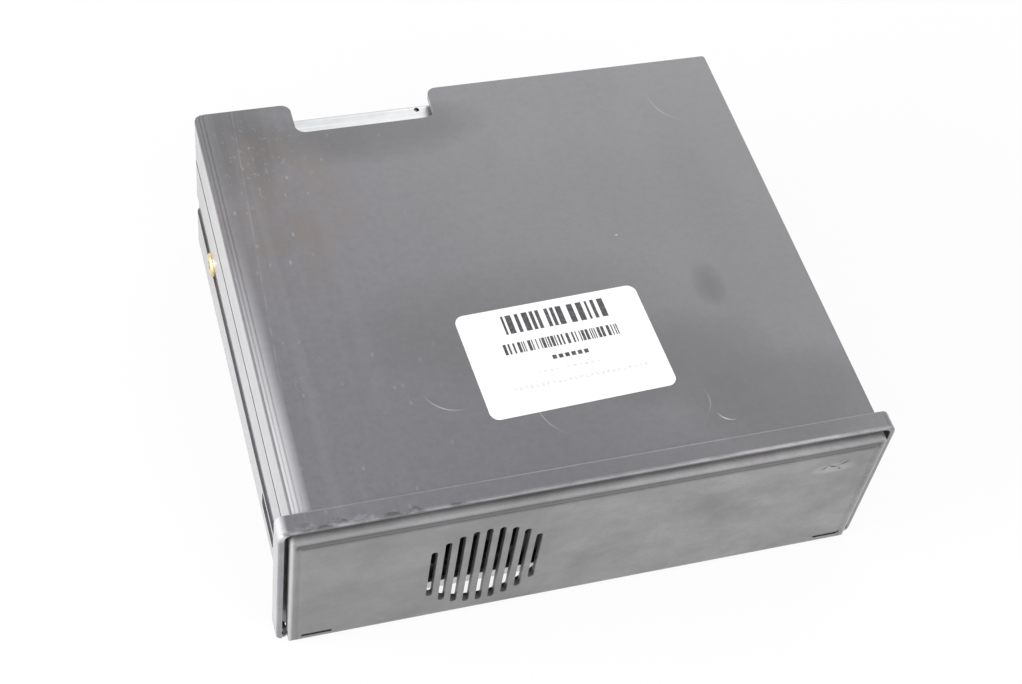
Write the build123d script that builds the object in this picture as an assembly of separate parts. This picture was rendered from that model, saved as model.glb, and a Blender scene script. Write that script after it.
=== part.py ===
from build123d import *
from math import sqrt
import os

# Car navigation unit: a moulded cover with a drop-down front door round a sheet steel chassis
# that holds a disc drive, a fan and the computer boards. Millimetres.
# While it is drawn, X points right seen from the front, Y to the back with zero at the bezel's
# front face, and Z up from the table. The finished pieces are moved along Y so that the origin
# lies under the middle of the unit.

# Cover and bezel
BODY_W = 180.0
BODY_H = 58.8
BODY_DEPTH = 163.4
COVER_WALL = 2.5
COVER_TOP = 2.2
COVER_EDGE_R = 0.9
COVER_LIP_W = 6.0
COVER_LIP_T = 1.5
REAR_CORNER_LEFT_R = 3.0
REAR_CORNER_RIGHT_R = 1.6
BEZEL_OVERHANG = 4.5
BEZEL_RISE = 0.4
BEZEL_DEPTH = 6.5
BEZEL_WEB = 1.2
BEZEL_WALL = 1.75
BEZEL_TOP_LIP = 0.9
BEZEL_CORNER_R = 3.0
BEZEL_FOOT_R = 2.0
BEZEL_EDGE_R = 0.7
BEZEL_REAR_R = 0.3
BEZEL_TAB_W = 1.25
BEZEL_TAB_T = 1.8

# Side and top relief of the cover
GROOVE_Z = 40.8
GROOVE_H = 1.5
GROOVE_CUT = 0.8
RAIL_Z = 19.2
RAIL_H = 9.0
RAIL_CUT = 0.8
TOP_LINE_INSETS = (1.6, 2.9)
TOP_LINE_W = 0.5
TOP_LINE_CUT = 0.2
CLIP_Y = 36.5
CLIP_Z = 9.2
CLIP_LENGTH = 17.0
CLIP_H = 7.0
CLIP_R = 1.2
NOTCH_X = -34.9
NOTCH_W = 46.8
NOTCH_CUT = 13.2
NOTCH_R = 3.2
SIDE_SCREW_INSET = 30.7

# Door
DOOR_GAP = 1.5
DOOR_TOP_GAP = 1.2
DOOR_PROUD = 2.25
DOOR_T = 4.0
DOOR_SKIN = 2.0
DOOR_RIM = 1.8
DOOR_FLOOR_GAP = 0.3
DOOR_CORNER_R = 2.2
DOOR_TOP_R = 2.0
DOOR_BOTTOM_R = 2.6
DOOR_SIDE_R = 0.9
DOOR_BACK_R = 0.5
BEAD_H = 2.6
VALLEY_R = 1.2
VALLEY_TOP_CUT = 0.85
VALLEY_SIDE_CUT = 0.3
VALLEY_INSET = 2.5
VENT_X = -32.7
VENT_Z = 26.2
VENT_R = 20.3
VENT_SLOTS = 9
VENT_PITCH = 4.0
VENT_SLOT_W = 2.0
VENT_COLLAR_T = 1.2
VENT_COLLAR_DEPTH = 1.5
SLIT_LENGTH = 9.2
SLIT_H = 0.8
SLIT_EDGES = (3.9, 2.3)
SLIT_LIFTS = (0.0, 0.4)
RIB_T = 1.2
RIB_PLACES = (5.0, 40.0, 72.0)

# Hinge of the door
HINGE_Y = 1.2
HINGE_Z = 4.2
PIN_R = 0.9
PIN_SEAT = 1.2
PIN_RUN = 0.05
PIN_LENGTH = 6.8
KNUCKLE_R = 2.0
KNUCKLE_LENGTH = 2.3
WASHER_R = 2.1
WASHER_GAP = 0.3

# Sheet steel chassis
SHEET = 0.8
CHASSIS_GAP = 0.4
CHASSIS_BEND_R = 1.2
TRAY_FLANGE = 7.0
LID_COVER_GAP = 2.3
TRAY_FRONT_Y = 7.0
TRAY_TONGUE_INSET = 7.1
TRAY_TONGUE_LIP = 3.0
REAR_INSET = 3.4
TAB_H = 12.0
TAB_LOW_Z = 14.0
TAB_DROP = 11.5
LID_FLANGE = 5.0
LID_BEND_R = 1.4
LID_FRONT_GAP = 0.4
LID_SCREW_INSET = 4.1
LID_SCREW_FRONT = 22.0
LID_SCREW_BACK = 12.0
LID_HOLE_X = -15.5
LID_HOLE_R = 0.9
PLATE_MARGIN = 0.3
FLOOR_SLOT_W = 2.6
FLOOR_SLOT_LENGTH = 24.0
FLOOR_SLOT_PITCH = 6.0
FLOOR_SLOTS = 8
FLOOR_SLOT_ROWS = ((-32.0, 52.0), (30.0, 76.0))
REAR_SLOT_INSET = 22.3
REAR_SLOT_H = 26.0

# Screws
M3_R = 1.5
M3_HEAD_R = 2.8
M3_HEAD_T = 1.6
SIDE_SCREW_R = 2.0
SIDE_HEAD_R = 4.1
SIDE_HEAD_T = 1.7
SIDE_NUT_R = 4.0
SIDE_NUT_T = 2.0
CROSS_W = 0.9

# Inner front wall
FASCIA_Y = 10.0
FASCIA_T = 2.0
FASCIA_GAP = 0.3
SLOT_W = 124.0
SLOT_H = 5.2
SLOT_DROP = 3.5
SLOT_RIM_T = 0.8
SLOT_RIM_W = 1.1
FAN_HOLE_R = 19.0
FASCIA_SCREW_Z = 30.0
FASCIA_SCREW_INSET = 4.1
FASCIA_HEAD_R = 2.6

# Eject button, its switch and board
BUTTON_X = 52.0
BUTTON_DROP = 14.0
BUTTON_W = 12.0
BUTTON_H = 5.0
BUTTON_PROUD = 1.0
BUTTON_CLEAR = 0.1
BUTTON_FLANGE = 1.0
BUTTON_FLANGE_T = 1.0
BUTTON_TRAVEL = 0.9
BUTTON_EDGE_R = 0.4
SWITCH_SIZE = 6.2
SWITCH_T = 3.6
PLUNGER_R = 1.6
PLUNGER_T = 0.7
SWITCH_GAP = 0.2
POST_SPREAD = 11.0
POST_R = 2.4
SMALL_BOARD_W = 32.0
SMALL_BOARD_H = 12.0
BOARD_T = 1.6

# Fan
FAN_SIZE = 40.0
FAN_T = 10.0
FAN_CORNER_R = 3.0
FAN_BORE_R = 18.7
FAN_HOLE_PITCH = 32.0
FAN_FLOOR_T = 1.5
FAN_HUB_FLOOR_R = 8.6
FAN_STRUT_W = 2.4
FAN_STRUTS = 3
FAN_TUBE_R = 2.2
ROTOR_HUB_R = 8.8
ROTOR_SHELL_T = 1.0
ROTOR_FRONT_GAP = 0.8
ROTOR_BACK_GAP = 0.5
ROTOR_RUN = 0.05
ROTOR_SLEEVE_R = 3.4
BLADES = 7
BLADE_TIP_GAP = 0.7
BLADE_T = 0.9
BLADE_ROOT_CHORD = 7.6
BLADE_TIP_CHORD = 10.0
BLADE_ROOT_ANGLE = 48.0
BLADE_TIP_ANGLE = 30.0
BLADE_CAMBER = 0.9
BLADE_SINK = 1.0

# Main board and what stands on it
MAIN_SIDE_GAP = 8.3
MAIN_FRONT_Y = 30.0
MAIN_REAR_GAP = 5.2
STANDOFF_H = 4.0
STANDOFF_R = 3.0
STANDOFF_INSET = 5.0
CHIP_X = 30.0
CHIP_Y = 76.0
CHIP_SIZE = 31.0
CHIP_T = 3.0
SINK_SIZE = 36.0
SINK_BASE = 3.0
SINK_H = 15.0
SINK_FINS = 9
SINK_FIN_T = 1.2
MEMORY_W = 9.4
MEMORY_L = 18.4
MEMORY_T = 1.2
MEMORY_PITCH = 12.0
MEMORY_COUNT = 4
MEMORY_Y = 108.0
RECEIVER_X = -46.0
RECEIVER_REAR_GAP = 8.2
RECEIVER_W = 42.0
RECEIVER_L = 30.0
RECEIVER_H = 8.0
RECEIVER_R = 1.5
GYRO_X = 64.0
GYRO_REAR_GAP = 16.7
GYRO_W = 20.0
GYRO_L = 9.0
GYRO_H = 21.0
COIL_X = -58.0
COIL_Y = 62.0
COIL_R = 9.0
COIL_WIRE_R = 4.0
CAPACITOR_R = 5.0
CAPACITOR_H = 14.0
CAPACITOR_Y = 42.0
CAPACITOR_INSETS = (10.0, 23.0)
CAPACITOR_GROOVE = 0.5

# Back panel board, connector and antenna socket
BACK_BOARD_GAP = 0.6
BACK_BOARD_INSET = 10.0
BACK_BOARD_H = 38.0
HEADER_W = 80.0
HEADER_L = 2.6
HEADER_H = 6.0
PLUG_W = 42.0
PLUG_H = 16.0
PLUG_DROP = 16.5
PLUG_WALL = 1.5
PLUG_BACK = 3.0
PLUG_PROUD = 1.8
PLUG_FLANGE = 2.2
PLUG_FLANGE_T = 1.4
PLUG_LATCH_W = 8.0
PLUG_LENGTH = 13.0
CONTACT_COLUMNS = 12
CONTACT_PITCH = 3.0
CONTACT_ROW_GAP = 6.4
CONTACT_SIZE = 0.8
CONTACT_REACH = 5.5
SOCKET_X = 20.0
SOCKET_R = 3.0
SOCKET_NUT_R = 5.0
SOCKET_NUT_T = 1.6
SOCKET_BARREL_R = 2.1
SOCKET_BARREL_BORE_R = 1.5
SOCKET_CORE_R = 0.45
SOCKET_BORE_CUT = 2.4

# Disc drive
DECK_T = 1.0
DECK_DROP = 10.3
DECK_SIDE_GAP = 8.3
DECK_FRONT_Y = 33.0
DECK_REAR_GAP = 2.2
CHEEK_INSET = 11.0
CHEEK_T = 1.0
CHEEK_FRONT_Y = 24.0
CHEEK_DROP = 2.5
BRACKET_T = 1.2
BRACKET_DROP = 10.0
BRACKET_REACH = 20.0
BRACKET_FRONT_Y = 40.0
BRACKET_REAR_INSET = 5.0
DAMPER_R = 4.0
DAMPER_H = 2.6
DRIVE_SCREW_INSET = 5.0
DRIVE_SCREW_FRONT = 14.0
DRIVE_SCREW_BACK = 12.0
SPINDLE_Y = 76.0
SPINDLE_R = 11.4
SPINDLE_H = 6.2
SPINDLE_BOSS_R = 3.5
SPINDLE_BOSS_H = 3.0
SPINDLE_SHAFT_R = 1.0
SPINDLE_SHAFT_H = 5.4
SPINDLE_HOLE_R = 3.8
TABLE_GAP = 0.3
TABLE_R = 14.0
TABLE_T = 1.6
TABLE_CONE_R = 7.3
TABLE_CONE_TOP_R = 5.6
TABLE_CONE_H = 1.0
RUN = 0.05
CUTOUT_W = 36.0
ROD_X = 18.0
ROD_DROP = 2.8
ROD_R = 1.5
ROD_FRONT_Y = 89.0
ROD_CLIP_L = 2.6
ROD_CLIP_W = 5.4
SLED_W = 30.0
SLED_L = 16.0
SLED_T = 5.6
SLED_START_Y = 93.0
SLED_EAR = 6.4
LENS_R = 3.4
LENS_T = 1.2
SCREW_X = 26.0
SCREW_R = 1.2
SCREW_ARM_L = 5.0
SLED_MOTOR_R = 4.8
SLED_MOTOR_L = 13.0
ROLLER_Y = 28.4
ROLLER_RISE = 2.4
ROLLER_R = 3.4
ROLLER_WAIST_R = 2.9
ROLLER_END_GAP = 9.0
ROLLER_SHAFT_R = 1.5
LOAD_MOTOR_R = 4.2
LOAD_MOTOR_L = 14.0
SHAFT_END = 1.6
SHAFT_IN_MOTOR = 4.0
ARM_W = 36.0
ARM_T = 0.8
ARM_LID_GAP = 0.3
ARM_FRONT_MARGIN = 14.0
ARM_PIN_INSET = 5.4
ARM_PIN_R = 1.0
ARM_KNUCKLE_R = 1.7
ARM_EAR_T = 1.6
ARM_EAR_L = 5.4
ARM_EAR_GAP = 0.3
PUCK_R = 12.0
PUCK_T = 0.9
PUCK_STEM_R = 2.0
PUCK_EDGE_R = 0.3
DRIVE_BOARD_X = -46.0
DRIVE_BOARD_W = 32.0
DRIVE_BOARD_FRONT_Y = 56.0
DRIVE_BOARD_REAR_Y = 122.0
RIBBON_W = 20.0
RIBBON_T = 0.4
RIBBON_Y = 88.0
RIBBON_BEND_R = 5.0
RIBBON_HEADER_H = 4.6
RIBBON_HEADER_L = 4.4
RIBBON_LAP = 12.0

# Sticker
STICKER_X = 3.1
STICKER_Y = 47.2
STICKER_W = 59.4
STICKER_L = 39.8
STICKER_T = 0.12
STICKER_R = 3.0
STICKER_TURN = 2.4

# Places that follow from the sizes above
PAST = 5.0
HALF_W = BODY_W / 2
INNER_X = HALF_W - COVER_WALL
INNER_TOP = BODY_H - COVER_TOP
BEZEL_HALF_W = HALF_W + BEZEL_OVERHANG
BEZEL_TOP = BODY_H + BEZEL_RISE
BEZEL_INNER_X = BEZEL_HALF_W - BEZEL_WALL
BEZEL_INNER_TOP = BEZEL_TOP - BEZEL_TOP_LIP
WEB_Y = BEZEL_DEPTH - BEZEL_WEB
DOOR_HALF_W = BEZEL_INNER_X - DOOR_GAP
DOOR_TOP = BEZEL_INNER_TOP - DOOR_TOP_GAP
DOOR_BACK = DOOR_T - DOOR_PROUD
SIDE_SCREW_Y = BODY_DEPTH - SIDE_SCREW_INSET
TRAY_X = INNER_X - CHASSIS_GAP
TRAY_INNER_X = TRAY_X - SHEET
TRAY_FLOOR = COVER_LIP_T + SHEET
LID_TOP = INNER_TOP - LID_COVER_GAP
TRAY_TOP = LID_TOP - SHEET
LID_SCREW_X = TRAY_X - LID_SCREW_INSET
FASCIA_BACK = FASCIA_Y + FASCIA_T
FASCIA_SCREW_X = TRAY_X - FASCIA_SCREW_INSET
SLOT_Z = TRAY_TOP - SLOT_DROP
BUTTON_Z = SLOT_Z - BUTTON_DROP
PLATE_BACK = BODY_DEPTH - REAR_INSET
PLATE_FRONT = PLATE_BACK - SHEET
LID_SCREW_Y = (LID_SCREW_FRONT, PLATE_BACK - LID_SCREW_BACK)
TAB_PLACES = (TAB_LOW_Z, TRAY_TOP - TAB_DROP)
REAR_SLOT_X = TRAY_INNER_X - REAR_SLOT_INSET
FAN_BACK = FASCIA_BACK + FAN_T
MAIN_Z = TRAY_FLOOR + STANDOFF_H
MAIN_TOP = MAIN_Z + BOARD_T
MAIN_HALF_W = TRAY_INNER_X - MAIN_SIDE_GAP
MAIN_REAR_Y = PLATE_FRONT - MAIN_REAR_GAP
PLUG_Z = TRAY_TOP - PLUG_DROP
PLUG_FRONT = PLATE_BACK + PLUG_PROUD - PLUG_LENGTH
BACK_BOARD_Y = PLUG_FRONT - BOARD_T
RECEIVER_Y = BACK_BOARD_Y - RECEIVER_REAR_GAP - RECEIVER_L / 2
GYRO_Y = BACK_BOARD_Y - GYRO_REAR_GAP - GYRO_L / 2
DECK_Z = TRAY_TOP - DECK_DROP
DECK_TOP = DECK_Z + DECK_T
DECK_HALF_W = TRAY_INNER_X - DECK_SIDE_GAP
DECK_REAR_Y = BACK_BOARD_Y - DECK_REAR_GAP
DRIVE_SCREW_X = DECK_HALF_W - DRIVE_SCREW_INSET
DRIVE_SCREW_Y = (DECK_FRONT_Y + DRIVE_SCREW_FRONT, DECK_REAR_Y - DRIVE_SCREW_BACK)
CHEEK_X = DECK_HALF_W - CHEEK_INSET
CHEEK_TOP = TRAY_TOP - CHEEK_DROP
ROLLER_Z = DECK_Z + ROLLER_RISE
ROLLER_HALF_L = CHEEK_X - ROLLER_END_GAP
ROD_Z = DECK_Z - ROD_DROP
BRACKET_TOP = DECK_Z - DAMPER_H
TABLE_Z = DECK_Z + SPINDLE_BOSS_H + TABLE_GAP
ARM_TOP = TRAY_TOP - ARM_LID_GAP
ARM_BOTTOM = ARM_TOP - ARM_T
ARM_PIN_Y = DECK_REAR_Y - ARM_PIN_INSET
ARM_PIN_Z = ARM_TOP - ARM_KNUCKLE_R
ORIGIN_Y = (BODY_DEPTH - DOOR_PROUD) / 2
SIDES = (-1, 1)


def block(x, y, z):
    """A box between two bounds on each axis."""
    low_high = [sorted(pair) for pair in (x, y, z)]
    size = [high - low for low, high in low_high]
    middle = [(low + high) / 2 for low, high in low_high]
    return Pos(*middle) * Box(*size)


def along_x(outline, start, end):
    """An outline in Y and Z carried along X."""
    return extrude(Plane.YZ.offset(start) * outline, amount=end - start)


def along_y(outline, start, end):
    """An outline in X and Z carried along Y."""
    return extrude(Plane.XZ.offset(-start) * outline, amount=start - end)


def along_z(outline, start, end):
    """An outline in X and Y carried along Z."""
    return extrude(Plane.XY.offset(start) * outline, amount=end - start)


def rect(x, z, corner=0.0):
    """A rectangle between bounds in the drawing plane, with rounded corners if asked."""
    width = x[1] - x[0]
    height = z[1] - z[0]
    shape = RectangleRounded(width, height, corner) if corner else Rectangle(width, height)
    return Pos((x[0] + x[1]) / 2, (z[0] + z[1]) / 2) * shape


def disc(x, z, radius):
    """A circle at a place in the drawing plane."""
    return Pos(x, z) * Circle(radius)


def pan_screw(radius, length, head_r, head_t):
    """A screw with its head's seat at the origin, its shank down and a cross recess on top."""
    shank = along_z(Circle(radius), -length, 0)
    head = along_z(Circle(head_r), 0, head_t)
    head = fillet(head.edges().sort_by(Axis.Z)[-1], head_t * 0.6)
    reach = head_r * 0.9
    cross = Rectangle(reach, CROSS_W) + Rectangle(CROSS_W, reach)
    return shank + head - along_z(cross, head_t * 0.4, head_t + PAST)


def make_cover():
    """The sleeve and the bezel are one moulding, open below and at the back."""
    section = rect((-HALF_W, HALF_W), (0, BODY_H))
    top_corners = section.vertices().group_by(Axis.Y)[-1]
    section = fillet(top_corners, COVER_EDGE_R)
    section -= rect((-INNER_X, INNER_X), (COVER_LIP_T, INNER_TOP))
    lip_x = HALF_W - COVER_LIP_W
    section -= rect((-lip_x, lip_x), (-PAST, COVER_LIP_T))
    for side in SIDES:
        section -= rect_at(side * HALF_W, GROOVE_Z, 2 * GROOVE_CUT, GROOVE_H)
        section -= rect_at(side * HALF_W, RAIL_Z, 2 * RAIL_CUT, RAIL_H)
    for inset in TOP_LINE_INSETS:
        section -= rect_at(inset - HALF_W, BODY_H, TOP_LINE_W, 2 * TOP_LINE_CUT)
    sleeve = along_y(section, WEB_Y, BODY_DEPTH)
    sleeve &= along_z(cover_plan(), -PAST, BODY_H + PAST)
    cover = sleeve + make_bezel()
    for side in SIDES:
        window = Pos(CLIP_Y, CLIP_Z) * RectangleRounded(CLIP_LENGTH, CLIP_H, CLIP_R)
        cover -= along_x(window, side * (INNER_X - PAST), side * (HALF_W + PAST))
        screw_hole = disc(SIDE_SCREW_Y, RAIL_Z, SIDE_SCREW_R + RUN)
        cover -= along_x(screw_hole, side * (INNER_X - PAST), side * (HALF_W + PAST))
        seat = disc(HINGE_Y, HINGE_Z, PIN_R)
        cover -= along_x(seat, side * (BEZEL_INNER_X - RUN), side * (BEZEL_INNER_X + PIN_SEAT))
    return cover


def rect_at(x, z, width, height):
    """A rectangle centred at a place in the drawing plane."""
    return Pos(x, z) * Rectangle(width, height)


def cover_plan():
    """The cover from above: rounded rear corners and the rear notch."""
    notch = (NOTCH_X - NOTCH_W / 2, NOTCH_X + NOTCH_W / 2)
    notch_y = BODY_DEPTH - NOTCH_CUT
    plan = rect((-HALF_W, HALF_W), (0, BODY_DEPTH)) - rect(notch, (notch_y, BODY_DEPTH + PAST))
    corners = plan.vertices()
    plan = fillet([c for c in corners if notch[0] - 1 < c.X < notch[1] + 1], NOTCH_R)
    rear = plan.vertices().group_by(Axis.Y)[-1].sort_by(Axis.X)
    plan = fillet(rear[0], REAR_CORNER_LEFT_R)
    rear = plan.vertices().group_by(Axis.Y)[-1].sort_by(Axis.X)
    return fillet(rear[-1], REAR_CORNER_RIGHT_R)


def make_bezel():
    """The frame round the door: side rails and a thin top lip, closed behind by a web."""
    outline = rect((-BEZEL_HALF_W, BEZEL_HALF_W), (0, BEZEL_TOP))
    outline = fillet(outline.vertices().group_by(Axis.Y)[-1], BEZEL_CORNER_R)
    outline = fillet(outline.vertices().group_by(Axis.Y)[0], BEZEL_FOOT_R)
    frame = along_y(outline, 0, BEZEL_DEPTH)
    frame = fillet(frame.faces().sort_by(Axis.Y)[0].edges(), BEZEL_EDGE_R)
    frame = fillet(frame.faces().sort_by(Axis.Y)[-1].edges(), BEZEL_REAR_R)
    opening = rect((-BEZEL_INNER_X, BEZEL_INNER_X), (-PAST, BEZEL_INNER_TOP))
    opening = fillet(opening.vertices().group_by(Axis.Y)[-1], BEZEL_CORNER_R - BEZEL_TOP_LIP)
    frame -= along_y(opening, -PAST, WEB_Y)
    passage = rect((-INNER_X, INNER_X), (-PAST, INNER_TOP))
    frame -= along_y(passage, -PAST, BEZEL_DEPTH + PAST)
    for side in SIDES:
        tab_x = (side * (BEZEL_INNER_X - BEZEL_TAB_W), side * (BEZEL_INNER_X + RUN))
        frame += block(tab_x, (BEZEL_EDGE_R, BEZEL_DEPTH), (0, BEZEL_TAB_T))
    return frame


def make_door():
    """The drop-down door: a hollow panel with a grip bead, the vent, two slits and knuckles."""
    outline = rect((-DOOR_HALF_W, DOOR_HALF_W), (DOOR_FLOOR_GAP, DOOR_TOP), DOOR_CORNER_R)
    profile = rect((-DOOR_PROUD, DOOR_BACK), (DOOR_FLOOR_GAP, DOOR_TOP))
    for front, top, radius in ((0, -1, DOOR_TOP_R), (0, 0, DOOR_BOTTOM_R), (-1, 0, DOOR_BACK_R)):
        corner = profile.vertices().group_by(Axis.X)[front].sort_by(Axis.Y)[top]
        profile = fillet(corner, radius)
    plan = rect((-DOOR_HALF_W, DOOR_HALF_W), (-DOOR_PROUD, DOOR_BACK))
    plan = fillet(plan.vertices().group_by(Axis.Y)[0], DOOR_SIDE_R)
    door = along_y(outline, -DOOR_PROUD, DOOR_BACK) & along_x(profile, -DOOR_HALF_W, DOOR_HALF_W)
    door &= along_z(plan, DOOR_FLOOR_GAP, DOOR_TOP)
    inner_x = DOOR_HALF_W - DOOR_RIM
    inner_z = (DOOR_FLOOR_GAP + DOOR_RIM, DOOR_TOP - DOOR_RIM)
    skin_y = DOOR_SKIN - DOOR_PROUD
    door -= along_y(rect((-inner_x, inner_x), inner_z), skin_y, DOOR_BACK + PAST)
    collar = disc(VENT_X, VENT_Z, VENT_R + 2 * VENT_COLLAR_T) - disc(VENT_X, VENT_Z, VENT_R + VENT_COLLAR_T)
    collar &= rect((-inner_x, inner_x), inner_z)
    door += along_y(collar, skin_y, skin_y + VENT_COLLAR_DEPTH)
    for place in RIB_PLACES:
        door += block((place - RIB_T / 2, place + RIB_T / 2), (skin_y, DOOR_BACK - RIB_T / 2), inner_z)
    for side in SIDES:
        knuckle = disc(HINGE_Y, HINGE_Z, KNUCKLE_R)
        door += along_x(knuckle, side * (inner_x - KNUCKLE_LENGTH), side * inner_x)
        bore = disc(HINGE_Y, HINGE_Z, PIN_R + PIN_RUN)
        pin_end = BEZEL_INNER_X + PIN_SEAT - PIN_LENGTH
        door -= along_x(bore, side * (pin_end - PIN_RUN), side * (DOOR_HALF_W + PAST))
    for side, edge, lift in zip(SIDES, SLIT_EDGES, SLIT_LIFTS):
        slit_x = side * (DOOR_HALF_W - edge - SLIT_LENGTH / 2)
        slit = Pos(slit_x, HINGE_Z + lift) * SlotOverall(SLIT_LENGTH, SLIT_H)
        door -= along_y(slit, -DOOR_PROUD - PAST, skin_y + PAST)
    valley_z = DOOR_TOP - BEAD_H
    valley_x = DOOR_HALF_W - VALLEY_INSET
    top_y = VALLEY_TOP_CUT - DOOR_PROUD - VALLEY_R
    side_y = VALLEY_SIDE_CUT - DOOR_PROUD - VALLEY_R
    door -= along_x(disc(top_y, valley_z, VALLEY_R), -valley_x, valley_x)
    for side in SIDES:
        door -= Pos(side * valley_x, top_y, valley_z) * Sphere(VALLEY_R)
        door -= along_z(disc(side * valley_x, side_y, VALLEY_R), -PAST, valley_z)
    for slot in vent_slots():
        door -= along_y(slot, -DOOR_PROUD - PAST, DOOR_BACK + PAST)
    return door


def vent_slots():
    """Upright rounded slots whose ends lie on the vent's circle."""
    slots = []
    for index in range(VENT_SLOTS):
        offset = (index - (VENT_SLOTS - 1) / 2) * VENT_PITCH
        length = 2 * sqrt(VENT_R**2 - offset**2)
        slots.append(Pos(VENT_X + offset, VENT_Z) * Rot(0, 0, 90) * SlotOverall(length, VENT_SLOT_W))
    return slots


def make_pins():
    """Two steel pins pressed into the bezel's side rails."""
    outer = BEZEL_INNER_X + PIN_SEAT
    pin = disc(HINGE_Y, HINGE_Z, PIN_R)
    return [along_x(pin, side * (outer - PIN_LENGTH), side * outer) for side in SIDES]


def make_washers():
    """Friction washers between the door and the bezel, one on each pin."""
    ring = disc(HINGE_Y, HINGE_Z, WASHER_R) - disc(HINGE_Y, HINGE_Z, PIN_R + PIN_RUN)
    inner = DOOR_HALF_W + WASHER_GAP
    outer = BEZEL_INNER_X - WASHER_GAP
    return [along_x(ring, side * inner, side * outer) for side in SIDES]


def make_fascia():
    """The wall behind the door, with the disc slot, the fan's hole and the button's hole."""
    wall_x = INNER_X - FASCIA_GAP
    wall_z = (TRAY_FLOOR + FASCIA_GAP, INNER_TOP - FASCIA_GAP)
    wall = along_y(rect((-wall_x, wall_x), wall_z), FASCIA_Y, FASCIA_BACK)
    slot = Pos(0, SLOT_Z) * RectangleRounded(SLOT_W, SLOT_H, SLOT_RIM_W)
    rim = Pos(0, SLOT_Z) * RectangleRounded(SLOT_W + 2 * SLOT_RIM_W, SLOT_H + 2 * SLOT_RIM_W, SLOT_RIM_W)
    wall += along_y(rim, FASCIA_Y - SLOT_RIM_T, FASCIA_Y)
    wall -= along_y(slot, FASCIA_Y - PAST, FASCIA_BACK + PAST)
    wall -= along_y(disc(VENT_X, VENT_Z, FAN_HOLE_R), FASCIA_Y - PAST, FASCIA_BACK + PAST)
    hole = rect_at(BUTTON_X, BUTTON_Z, BUTTON_W + 2 * BUTTON_CLEAR, BUTTON_H + 2 * BUTTON_CLEAR)
    wall -= along_y(hole, FASCIA_Y - PAST, FASCIA_BACK + PAST)
    for side in SIDES:
        post = disc(BUTTON_X + side * POST_SPREAD, BUTTON_Z, POST_R)
        wall += along_y(post, FASCIA_BACK, small_board_y())
        hole = disc(side * FASCIA_SCREW_X, FASCIA_SCREW_Z, M3_R)
        wall -= along_y(hole, FASCIA_Y - PAST, FASCIA_BACK + PAST)
    for x, z in fan_corners():
        wall -= along_y(disc(x, z, M3_R), FASCIA_Y + FASCIA_T / 4, FASCIA_BACK + PAST)
    return wall


def fan_corners():
    """The centres of the fan's four screw holes."""
    half = FAN_HOLE_PITCH / 2
    return [(VENT_X + a * half, VENT_Z + b * half) for a in SIDES for b in SIDES]


def small_board_y():
    """The front of the button's board, behind the switch."""
    return FASCIA_BACK + SWITCH_GAP + BUTTON_FLANGE_T + BUTTON_TRAVEL + SWITCH_GAP + PLUNGER_T + SWITCH_T


def make_button():
    """The eject button: a cap through the inner wall and a flange that keeps it in."""
    back = FASCIA_BACK + SWITCH_GAP
    cap = along_y(rect_at(BUTTON_X, BUTTON_Z, BUTTON_W, BUTTON_H), FASCIA_Y - BUTTON_PROUD, back)
    cap = fillet(cap.faces().sort_by(Axis.Y)[0].edges(), BUTTON_EDGE_R)
    flange = rect_at(BUTTON_X, BUTTON_Z, BUTTON_W + 2 * BUTTON_FLANGE, BUTTON_H + 2 * BUTTON_FLANGE)
    return cap + along_y(flange, back, back + BUTTON_FLANGE_T)


def make_switch():
    """The push switch behind the button."""
    board_y = small_board_y()
    body = along_y(rect_at(BUTTON_X, BUTTON_Z, SWITCH_SIZE, SWITCH_SIZE), board_y - SWITCH_T, board_y)
    plunger = disc(BUTTON_X, BUTTON_Z, PLUNGER_R)
    return body + along_y(plunger, board_y - SWITCH_T - PLUNGER_T, board_y - SWITCH_T)


def make_small_board():
    """The board that carries the switch, on the inner wall's posts."""
    outline = rect_at(BUTTON_X, BUTTON_Z, SMALL_BOARD_W, SMALL_BOARD_H)
    return along_y(outline, small_board_y(), small_board_y() + BOARD_T)


def make_fan_frame():
    """A square fan frame with a hub floor on struts and a bearing tube."""
    outline = Pos(VENT_X, VENT_Z) * RectangleRounded(FAN_SIZE, FAN_SIZE, FAN_CORNER_R)
    frame = along_y(outline - disc(VENT_X, VENT_Z, FAN_BORE_R), FASCIA_BACK, FAN_BACK)
    floor_y = FAN_BACK - FAN_FLOOR_T
    floor = disc(VENT_X, VENT_Z, FAN_HUB_FLOOR_R)
    for index in range(FAN_STRUTS):
        strut = Pos((FAN_BORE_R + FAN_STRUT_W) / 2, 0) * Rectangle(FAN_BORE_R + FAN_STRUT_W, FAN_STRUT_W)
        floor += Pos(VENT_X, VENT_Z) * Rot(0, 0, 360 / FAN_STRUTS * (index + 0.25)) * strut
    frame += along_y(floor & outline, floor_y, FAN_BACK)
    tube_y = FASCIA_BACK + ROTOR_FRONT_GAP + ROTOR_SHELL_T + ROTOR_BACK_GAP
    frame += along_y(disc(VENT_X, VENT_Z, FAN_TUBE_R), tube_y, floor_y)
    for x, z in fan_corners():
        frame -= along_y(disc(x, z, M3_R + RUN), FASCIA_BACK - PAST, FAN_BACK + PAST)
    return frame


def blade_section(chord, camber, angle):
    """A thin curved blade section: two arcs a blade's thickness apart, turned to its pitch."""
    half = chord / 2
    upper = ThreePointArc((-half, 0), (0, camber + BLADE_T / 2), (half, 0))
    lower = ThreePointArc((half, 0), (0, camber - BLADE_T / 2), (-half, 0))
    return Rot(0, 0, angle) * make_face([upper, lower])


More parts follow.
